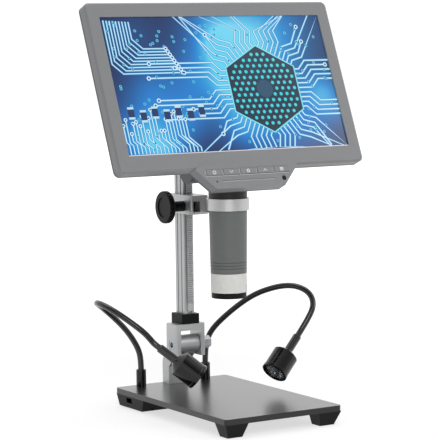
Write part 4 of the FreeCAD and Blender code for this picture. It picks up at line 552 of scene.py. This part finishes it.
@dataclass
class Picture:
    """Lit picture: a made-up magnified circuit with a six-sided part and fanned tracks."""

    plane: ScreenFrame
    width: float = 222.7
    height: float = 125.3
    depth: float = 1.35
    lift: float = 0.03
    module: tuple[float, float] = (38.0, -6.0)
    module_radius: float = 40.0
    track_width: float = 1.05
    fan_pitch: float = 4.4
    fan_start: float = 4.0
    fan_step: float = 2.6
    fan_bend: float = 8.0
    fan_half: int = 4
    seed: int = 11
    points: list[np.ndarray] = field(default_factory=list)
    faces: list[list[int]] = field(default_factory=list)
    colours: list[np.ndarray] = field(default_factory=list)
    depths: list[np.ndarray] = field(default_factory=list)
    count: int = 0

    def add(self, flat: np.ndarray, faces: np.ndarray | list, colour: np.ndarray, layer: int) -> None:
        """Add flat shapes to the picture.

        Args:
            flat: Rows of distance right and up.
            faces: Rows of corner numbers, or lists of them.
            colour: One display colour, or one for each point.
            layer: How far the shape is lifted off the ground.
        """
        self.points.append(flat)
        self.faces += [[int(k) + self.count for k in row] for row in faces]
        self.colours.append(np.broadcast_to(np.asarray(colour, float), (len(flat), 3)))
        self.depths.append(np.full(len(flat), self.depth - layer * self.lift))
        self.count += len(flat)

    def ground(self) -> None:
        """Add the ground: blue that swells and fades as a sum of soft round patches over a dark base."""
        u, v = np.meshgrid(np.linspace(-0.5, 0.5, 129), np.linspace(-0.5, 0.5, 73), indexing="ij")
        flat = np.stack([u * self.width, v * self.height], -1).reshape(-1, 2)
        rng = np.random.default_rng(self.seed)
        light = np.zeros(len(flat))
        for x, y, size, gain in zip(rng.uniform(-110, 110, 26), rng.uniform(-62, 62, 26),
                                    rng.uniform(12, 34, 26),
                                    rng.uniform(0.25, 0.9, 26)):
            light += gain * np.exp(-((flat[:, 0] - x) ** 2 + (flat[:, 1] - y) ** 2) / (2 * size ** 2))
        light = np.clip(light / 1.9 - 0.08, 0, 1)[:, None]
        dark, middle, bright = np.array([0, 34, 84.0]), np.array([0, 124, 206.0]), np.array([96, 212, 244.0])
        colour = np.where(light < 0.6, dark + (middle - dark) * light / 0.6,
                          middle + (bright - middle) * (light - 0.6) / 0.4)
        self.add(flat, grid_faces(129, 73), colour, 0)

    def disc(self, at: np.ndarray, radius: float, colour: Colour, layer: int, sides: int = 12,
             turn: float = 0.0) -> None:
        """Add an even-sided disc, its corners at equal turns round its middle, kept inside the picture."""
        angle = np.linspace(0, 2 * np.pi, sides, endpoint=False) + turn
        flat = np.array(at) + radius * np.stack([np.cos(angle), np.sin(angle)], 1)
        limit = np.array([self.width, self.height]) / 2
        self.add(np.clip(flat, -limit, limit), [range(sides)], colour, layer)

    def track(self, corners: np.ndarray, width: float, colour: Colour, layer: int) -> None:
        """Add a bent strip.

        Each corner is moved half the width to both sides along the mean normal of its two runs.

        Args:
            corners: Rows of distance right and up.
            width: Width of the strip.
            colour: Display colour.
            layer: How far it is lifted off the ground.
        """
        run = np.diff(corners, axis=0)
        normal = np.stack([-run[:, 1], run[:, 0]], 1) / np.linalg.norm(run, axis=1)[:, None]
        mean = np.vstack([normal[:1], normal[1:] + normal[:-1], normal[-1:]])
        mean /= np.linalg.norm(mean, axis=1)[:, None]
        flat = np.vstack([corners + mean * width / 2, corners - mean * width / 2])
        limit = np.array([self.width, self.height]) / 2
        n = len(corners)
        faces = [[k + n, k + 1 + n, k + 1, k] for k in range(n - 1)]
        self.add(np.clip(flat, -limit, limit), faces, colour, layer)

    def pad(self, at: np.ndarray, radius: float, hole: float, well: Colour = WELL) -> None:
        """Add a round end with its darker middle."""
        self.disc(at, radius, PALE, 3)
        self.disc(at, hole, well, 4)

    def trace(self, corners: np.ndarray, halo: float, core: float) -> None:
        """Add a pale strip over a wider one that glows."""
        self.track(corners, halo, HALO, 1)
        self.track(corners, core, PALE, 2)

    def tracks(self) -> None:
        """Add fans of bent tracks from the six sides of the module, and loose ones with round ends."""
        middle = np.array(self.module)
        rng = np.random.default_rng(self.seed + 1)
        for side in range(6):
            outward = np.array([math.cos(math.radians(60 * side)), math.sin(math.radians(60 * side))])
            across = np.array([-outward[1], outward[0]])
            for k in range(-self.fan_half, self.fan_half + 1):
                start = middle + outward * (self.module_radius * 0.9) + across * k * self.fan_pitch
                first = start + outward * (self.fan_start + self.fan_step * (self.fan_half - abs(k)))
                bent = first + (outward + across * np.sign(k + 0.1)) * self.fan_bend
                end = bent + outward * rng.uniform(12, 70)
                corners = np.array([start, first, bent, end])
                self.trace(corners, self.track_width * 2.2, self.track_width)
                if np.all(np.abs(end) < (self.width / 2 - 3, self.height / 2 - 3)):
                    self.pad(end, 2.1, 1.0)
        for k in range(20):
            start = np.array([-108 + 3.6 * k, -61.0])
            rise, slant = rng.uniform(3, 9), 4.0 + 0.8 * k
            corners = np.array([start, start + (0, rise), start + (-slant / 2, rise + slant / 2),
                                start + (-slant / 2, rise + slant / 2 + rng.uniform(5, 26))])
            self.trace(corners, self.track_width * 1.9, self.track_width * 0.9)
            self.pad(corners[-1], 1.8, 0.8, (10, 58, 130))
        for x, y in zip(rng.uniform(-106, 106, 150), rng.uniform(-58, 58, 150)):
            self.disc((x, y), 1.5, (90, 200, 236), 2, 6)
            self.disc((x, y), 0.7, (8, 54, 120), 3, 6)

    def parts(self) -> None:
        """Add the six-sided module with its honeycomb of pads, and rows of small oblong parts."""
        self.disc(self.module, self.module_radius + 1.4, (120, 226, 240), 5, 6, math.pi / 6)
        self.disc(self.module, self.module_radius, (14, 38, 62), 6, 6, math.pi / 6)
        pitch = 6.2
        for row in range(-6, 7):
            for column in range(-7, 8):
                spot = np.array([(column + 0.5 * (row % 2)) * pitch, row * pitch * math.sqrt(3) / 2])
                reach = max(abs(spot @ (math.cos(a), math.sin(a))) for a in (0, math.pi / 3, 2 * math.pi / 3))
                if 9.5 < np.hypot(*spot) and reach < self.module_radius * 0.8:
                    self.disc(np.array(self.module) + spot, 1.75, (52, 214, 222), 7, 6)
        self.disc(self.module, 8.2, (36, 78, 108), 7, 24)
        foot = -self.height / 2
        self.track(np.array([(-self.width / 2, foot + 0.5), (self.width / 2, foot + 0.5)]), 1.0,
                   (236, 224, 230), 8)
        for k in range(7):
            at = np.array([-100 + 11.5 * k, -30 - 3 * (k % 2)])
            self.track(np.array([at, at + (0, 11)]), 6.0, (18, 46, 96), 4)
            self.track(np.array([at, at + (0, 2)]), 6.0, (190, 226, 246), 5)
            self.track(np.array([at + (0, 9), at + (0, 11)]), 6.0, (190, 226, 246), 5)
        for k in range(9):
            start = np.array([-108.0 + 3 * k, 60.0 - 0.2 * k])
            drop, shift, reach = 40 - 3 * k, 9.0, 58 - 4.5 * k
            corners = np.array([start, start + (0, -drop), start + (shift, -drop - shift),
                                start + (shift + reach, -drop - shift)])
            self.trace(corners, 2.0, 0.9)
            self.pad(corners[-1], 2.0, 0.9)

    def build(self, shop: Workshop) -> bpy.types.Object:
        """Make the picture as one mesh with a colour at each point.

        Points above a slanted line to the upper right are mixed a little towards white: a painted reflection
        of gloss on the glass.

        Args:
            shop: Maker of meshes and materials.

        Returns:
            The picture.
        """
        self.ground()
        self.tracks()
        self.parts()
        flat, colour = np.vstack(self.points), np.vstack(self.colours)
        # Painted reflection: a diagonal gloss of the glass mixed into the picture's colours.
        sheen = np.clip((flat[:, 0] * 0.9 + flat[:, 1] * 1.1 - 40) * 0.05, 0, 1)[:, None] * 0.12
        colour = colour + (235 - colour) * sheen
        light = np.where(colour <= 10.3, colour / 255 / 12.92, ((colour / 255 + 0.055) / 1.055) ** 2.4)
        made = bpy.data.materials.new("picture_light")
        made.use_nodes = True
        nodes, links = made.node_tree.nodes, made.node_tree.links
        shader = nodes["Principled BSDF"]
        shader.inputs["Base Color"].default_value = (0.004, 0.006, 0.01, 1)
        shader.inputs["Roughness"].default_value = 0.12
        paint = nodes.new("ShaderNodeVertexColor")
        paint.layer_name = "Col"
        links.new(paint.outputs["Color"], shader.inputs["Emission Color"])
        shader.inputs["Emission Strength"].default_value = 0.95
        piece = shop.mesh("screen_picture", self.plane.place(flat, np.concatenate(self.depths)), self.faces,
                          "screen_unit", made, smooth=False)
        layer = piece.data.color_attributes.new("Col", "FLOAT_COLOR", "POINT")
        layer.data.foreach_set("color", np.hstack([light, np.ones((len(light), 1))]).ravel())
        return piece


@dataclass
class ButtonSigns:
    """Raised signs on the five buttons: power, down, ring, up and menu bars."""

    plane: ScreenFrame
    pitch: float = 17.0
    row: float = -81.3
    depth: float = -1.4
    proud: float = 0.08
    stroke: float = 0.5
    size: float = 1.25

    def strip(self, corners: list[tuple[float, float]], width: float) -> tuple[np.ndarray, list[list[int]]]:
        """Flat strip along corners, half its width to each side of the line.

        Args:
            corners: Points of the line.
            width: Width of the strip.

        Returns:
            Points and faces.
        """
        line = np.array(corners, float)
        run = np.gradient(line, axis=0)
        normal = np.stack([-run[:, 1], run[:, 0]], 1) / np.linalg.norm(run, axis=1)[:, None]
        flat = np.vstack([line + normal * width / 2, line - normal * width / 2])
        n = len(line)
        return flat, [[k + n, k + 1 + n, k + 1, k] for k in range(n - 1)]

    def arc(self, radius: float, start: float, end: float) -> list[tuple[float, float]]:
        """Points of an arc at even turns between two angles in degrees."""
        angle = np.radians(np.linspace(start, end, 20))
        return [(float(radius * np.cos(a)), float(radius * np.sin(a))) for a in angle]

    def build(self, shop: Workshop) -> None:
        """Make the signs, each on its own button, as thin plates a little proud of the cap.

        Args:
            shop: Maker of meshes and materials.
        """
        signs = {
            "power_button": [self.arc(1.15, 130, 410), [(0, 0.35), (0, 1.55)]],
            "down_button": [[(-1.2, 0.6), (0, -0.7), (1.2, 0.6)]],
            "enter_button": [self.arc(1.0, 0, 360)],
            "up_button": [[(-1.2, -0.6), (0, 0.7), (1.2, -0.6)]],
            "menu_button": [[(-1.4, y), (1.4, y)] for y in (-0.9, 0.0, 0.9)],
        }
        for n, (button, lines) in enumerate(signs.items()):
            flats, faces, count = [], [], 0
            for line in lines:
                flat, quads = self.strip([(x * self.size, y * self.size) for x, y in line], self.stroke)
                flats.append(flat + ((n - 2) * self.pitch, self.row))
                faces += [[k + count for k in row] for row in quads]
                count += len(flat)
            flat = np.vstack(flats)
            front = self.plane.place(flat, self.depth - self.proud)
            piece = shop.mesh(f"{button}_sign", front, faces, button, shop.material(Surface.INK),
                              False)
            wall = piece.modifiers.new("thickness", "SOLIDIFY")
            wall.thickness = self.proud * MM
            wall.offset = -1 if piece.data.polygons[0].normal.y < 0 else 1


@dataclass
class ChinHighlights:
    """Painted highlights of the chin: light strips standing for the shine in its long groove, and along the
    left and foot of each button.
    """

    plane: ScreenFrame
    groove_height: float = -89.4
    groove_half: float = 26.9
    groove_floor: float = 0.4
    button_pitch: float = 17.0
    button_half: tuple[float, float] = (7.6, 2.7)
    button_row: float = -81.3
    face: float = -0.6
    line: float = 0.45

    def bar(self, low: tuple[float, float], high: tuple[float, float], back: float,
            front: float) -> tuple[np.ndarray, np.ndarray]:
        """Low bar with a crowned front: its depth is the half wave of a cosine across its width.

        Args:
            low: Lowest distances right and up.
            high: Highest distances right and up.
            back: Depth of its sides.
            front: Depth of its crown.

        Returns:
            Points in metres and faces.
        """
        low, high = np.array(low), np.array(high)
        long = int(np.argmax(high - low))
        run, across = np.linspace(0, 1, 12), np.linspace(0, 1, 7)
        u, v = np.meshgrid(run, across, indexing="ij")
        share = np.stack([u, v] if long == 0 else [v, u], -1).reshape(-1, 2)
        flat = low + share * (high - low)
        depth = back + (front - back) * np.sin(np.pi * v).ravel()
        faces = grid_faces(12, 7)
        if long == 0:
            faces = faces[:, ::-1]
        return self.plane.place(flat, depth), faces

    def build(self, shop: Workshop) -> None:
        """Make all the painted highlight strips as one piece on the screen.

        Args:
            shop: Maker of meshes and materials.
        """
        half_x, half_y = self.button_half
        # Each bar is a light strip painted where a highlight falls.
        bars = [((-self.groove_half, self.groove_height - 0.5), (self.groove_half, self.groove_height + 0.5),
                 self.groove_floor - 0.05, self.groove_floor - 0.5)]
        for n in range(-2, 3):
            left, foot = n * self.button_pitch - half_x - 0.3, self.button_row - half_y - 0.3
            bars.append(((left - self.line, foot), (left, foot + 2 * half_y), self.face, self.face - 0.12))
            bars.append(((left - self.line, foot - self.line), (left + 2 * half_x, foot), self.face,
                         self.face - 0.12))
        points, faces, count = [], [], 0
        for low, high, back, front in bars:
            corner, quads = self.bar(low, high, back, front)
            points.append(corner)
            faces.append(quads + count)
            count += len(corner)
        shop.mesh("chin_lines", np.vstack(points), np.vstack(faces), "screen_unit",
                  shop.material(Surface.EDGE_LINE))


@dataclass
class Studio:
    """Floor, light and camera."""

    lens: float = 166.46
    distance: float = 1778.8
    roll: float = -0.74
    target: Colour = (-3.43, 0.0, 173.15)
    back: Colour = (-0.5194, -0.8493, 0.0941)
    right: Colour = (0.853, -0.5217, 0.0)
    soft_light: float = 0.42
    room_light: float = 0.12
    wall_light: float = 1.1
    wall_way: Colour = (0.5, 0.82, 0.45)
    wall_rise: tuple[float, float] = (-0.75, 0.45)
    floor_half: float = 4.0
    floor_grey: float = 0.85
    floor_glow: float = 1.3
    floor_fade: tuple[float, float] = (0.25, 0.9)
    floor_share: tuple[float, float] = (0.5, 1.0)
    lamps: tuple[tuple[str, Colour, float, float], ...] = (
        ("key", (-0.9, -2.0, 1.5), 1.2, 24),
        ("fill", (1.7, -1.1, 1.0), 1.0, 8),
        ("low", (-0.8, -1.7, 0.35), 1.3, 5),
        ("top", (0.1, 0.4, 2.2), 1.6, 14),
    )

    def camera(self) -> None:
        """Place the camera: looking at the target from along the back vector, rolled about its own axis."""
        back = np.array(self.back) / np.linalg.norm(self.back)
        right = np.array(self.right) / np.linalg.norm(self.right)
        up = np.cross(back, right)
        turn = math.radians(self.roll)
        side, top = math.cos(turn) * right + math.sin(turn) * up, math.cos(turn) * up - math.sin(turn) * right
        data = bpy.data.cameras.new("camera")
        data.lens = self.lens
        data.sensor_width = 36
        data.clip_end = 20
        camera = bpy.data.objects.new("camera", data)
        place = (np.array(self.target) + back * self.distance) * MM
        rows = [(*row, at) for row, at in zip(np.stack([side, top, back], 1), place)]
        camera.matrix_world = Matrix(rows + [(0, 0, 0, 1)])
        bpy.context.scene.collection.objects.link(camera)
        bpy.context.scene.camera = camera

    def lamp(self, name: str, place: Colour, size: float, power: float) -> None:
        """Add a square lamp that faces the instrument."""
        data = bpy.data.lights.new(name, "AREA")
        data.size = size
        data.energy = power
        lamp = bpy.data.objects.new(name, data)
        lamp.location = place
        lamp.rotation_euler = (Vector((0, 0, 0.18)) - Vector(place)).to_track_quat("-Z", "Y").to_euler()
        bpy.context.scene.collection.objects.link(lamp)

    def sky(self) -> None:
        """White surroundings to the camera, and a softer light on the instrument.

        Reflections see the white wall behind the instrument, and a darker room in front of it: the brightness
        grows smoothly with how far a direction points to the back and up.
        """
        world = bpy.data.worlds.new("studio")
        world.use_nodes = True
        bpy.context.scene.world = world
        nodes, links = world.node_tree.nodes, world.node_tree.links
        nodes.clear()
        path, out = nodes.new("ShaderNodeLightPath"), nodes.new("ShaderNodeOutputWorld")
        soft, white = nodes.new("ShaderNodeBackground"), nodes.new("ShaderNodeBackground")
        soft.inputs["Color"].default_value = (1, 1, 1, 1)
        soft.inputs["Strength"].default_value = self.soft_light
        place = nodes.new("ShaderNodeTexCoord")
        lean = nodes.new("ShaderNodeVectorMath")
        lean.operation = "DOT_PRODUCT"
        lean.inputs[1].default_value = self.wall_way
        links.new(place.outputs["Generated"], lean.inputs[0])
        rise = nodes.new("ShaderNodeMapRange")
        rise.interpolation_type = "SMOOTHSTEP"
        rise.inputs["From Min"].default_value, rise.inputs["From Max"].default_value = self.wall_rise
        rise.inputs["To Min"].default_value = self.room_light
        rise.inputs["To Max"].default_value = self.wall_light
        links.new(lean.outputs["Value"], rise.inputs["Value"])
        room = nodes.new("ShaderNodeMath")
        room.operation = "MAXIMUM"
        links.new(rise.outputs["Result"], room.inputs[0])
        links.new(path.outputs["Is Camera Ray"], room.inputs[1])
        links.new(room.outputs[0], white.inputs["Color"])
        mix = nodes.new("ShaderNodeMixShader")
        links.new(self.seen_by(nodes, links, path), mix.inputs["Fac"])
        links.new(soft.outputs[0], mix.inputs[1])
        links.new(white.outputs[0], mix.inputs[2])
        links.new(mix.outputs[0], out.inputs["Surface"])

    def seen_by(self, nodes: bpy.types.Nodes, links: bpy.types.NodeLinks,
                path: bpy.types.Node) -> bpy.types.NodeSocket:
        """Socket that is 1 for camera, glossy and transmission rays.

        Args:
            nodes: Nodes of the tree.
            links: Links of the tree.
            path: Its Light Path node.

        Returns:
            The socket.
        """
        socket = path.outputs["Is Camera Ray"]
        for name in ("Is Glossy Ray", "Is Transmission Ray"):
            more = nodes.new("ShaderNodeMath")
            more.operation = "MAXIMUM"
            links.new(socket, more.inputs[0])
            links.new(path.outputs[name], more.inputs[1])
            socket = more.outputs[0]
        return socket

    def floor(self) -> None:
        """Pale floor that reads as white, wholly so far off, and keeps a soft shadow near the instrument."""
        made = bpy.data.meshes.new("floor")
        half = self.floor_half
        made.from_pydata([(-half, -half, 0), (half, -half, 0), (half, half, 0), (-half, half, 0)], [],
                         [(0, 1, 2, 3)])
        floor = bpy.data.objects.new("floor", made)
        bpy.context.scene.collection.objects.link(floor)
        material = bpy.data.materials.new("floor")
        material.use_nodes = True
        nodes, links = material.node_tree.nodes, material.node_tree.links
        nodes.clear()
        path, out = nodes.new("ShaderNodeLightPath"), nodes.new("ShaderNodeOutputMaterial")
        paper, white = nodes.new("ShaderNodeBsdfDiffuse"), nodes.new("ShaderNodeEmission")
        paper.inputs["Color"].default_value = (*[self.floor_grey] * 3, 1)
        place, far = nodes.new("ShaderNodeTexCoord"), nodes.new("ShaderNodeVectorMath")
        far.operation = "LENGTH"
        links.new(place.outputs["Object"], far.inputs[0])
        fade = nodes.new("ShaderNodeMapRange")
        fade.interpolation_type = "SMOOTHSTEP"
        fade.inputs["From Min"].default_value, fade.inputs["From Max"].default_value = self.floor_fade
        fade.inputs["To Min"].default_value, fade.inputs["To Max"].default_value = self.floor_share
        links.new(far.outputs["Value"], fade.inputs["Value"])
        share = nodes.new("ShaderNodeMath")
        share.operation = "MULTIPLY"
        links.new(fade.outputs["Result"], share.inputs[1])
        links.new(self.seen_by(nodes, links, path), share.inputs[0])
        mix = nodes.new("ShaderNodeMixShader")
        links.new(share.outputs[0], mix.inputs["Fac"])
        links.new(paper.outputs[0], mix.inputs[1])
        links.new(white.outputs[0], mix.inputs[2])
        white.inputs["Strength"].default_value = self.floor_glow
        links.new(mix.outputs[0], out.inputs["Surface"])
        made.materials.append(material)

    def build(self) -> None:
        """Set up the whole studio."""
        self.camera()
        self.sky()
        self.floor()
        for row in self.lamps:
            self.lamp(*row)
        bpy.context.scene.view_settings.view_transform = "Standard"


RIGHT_NECK = (
    (32, 87.5, 24.5), (32, 87.5, 46), (36, 86, 61), (44.5, 78, 74), (59, 62, 91),
    (66.1, 52, 98.5), (73.4, 43, 101.8), (80, 33, 105.6), (85.7, 23, 108), (92.3, 11, 105.3),
    (95.2, 3, 99.8), (93.7, -3, 92.7), (89, -6, 85.6),
)
LEFT_NECK = (
    (-36, 87.5, 24.5), (-36, 87.5, 41), (-37.4, 88.5, 50.3), (-43, 89, 61.4), (-51.3, 89, 72),
    (-61.4, 89, 81.2), (-72.4, 87, 89.9), (-83.5, 80, 97.4), (-91.8, 70, 100.1), (-94.7, 58, 101.3),
    (-93.2, 48, 100.4), (-84, 38, 92.5), (-75.9, 29, 84.3), (-67.9, 20, 75.8),
)
RIGHT_LAMP = ((40.8, -16, 35.6), (0.712, 0.198, 0.673))
LEFT_LAMP = ((-31.9, -8, 37.7), (-0.687, 0.374, 0.622))


def main() -> None:
    """Load the frame, dress it, and add the finer pieces and the studio."""
    logging.basicConfig(level=logging.INFO, format="%(message)s")
    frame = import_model()
    shop = Workshop()
    shop.dress_frame(frame)
    for side, route, (face, back) in (("left", LEFT_NECK, LEFT_LAMP), ("right", RIGHT_NECK, RIGHT_LAMP)):
        Gooseneck(side, route, face, back).build(shop)
        LampOptics(side, face, back).build(shop)
    plane = ScreenFrame()
    Picture(plane).build(shop)
    ButtonSigns(plane).build(shop)
    ChinHighlights(plane).build(shop)
    Studio().build()


if __name__ == "__main__":
    main()
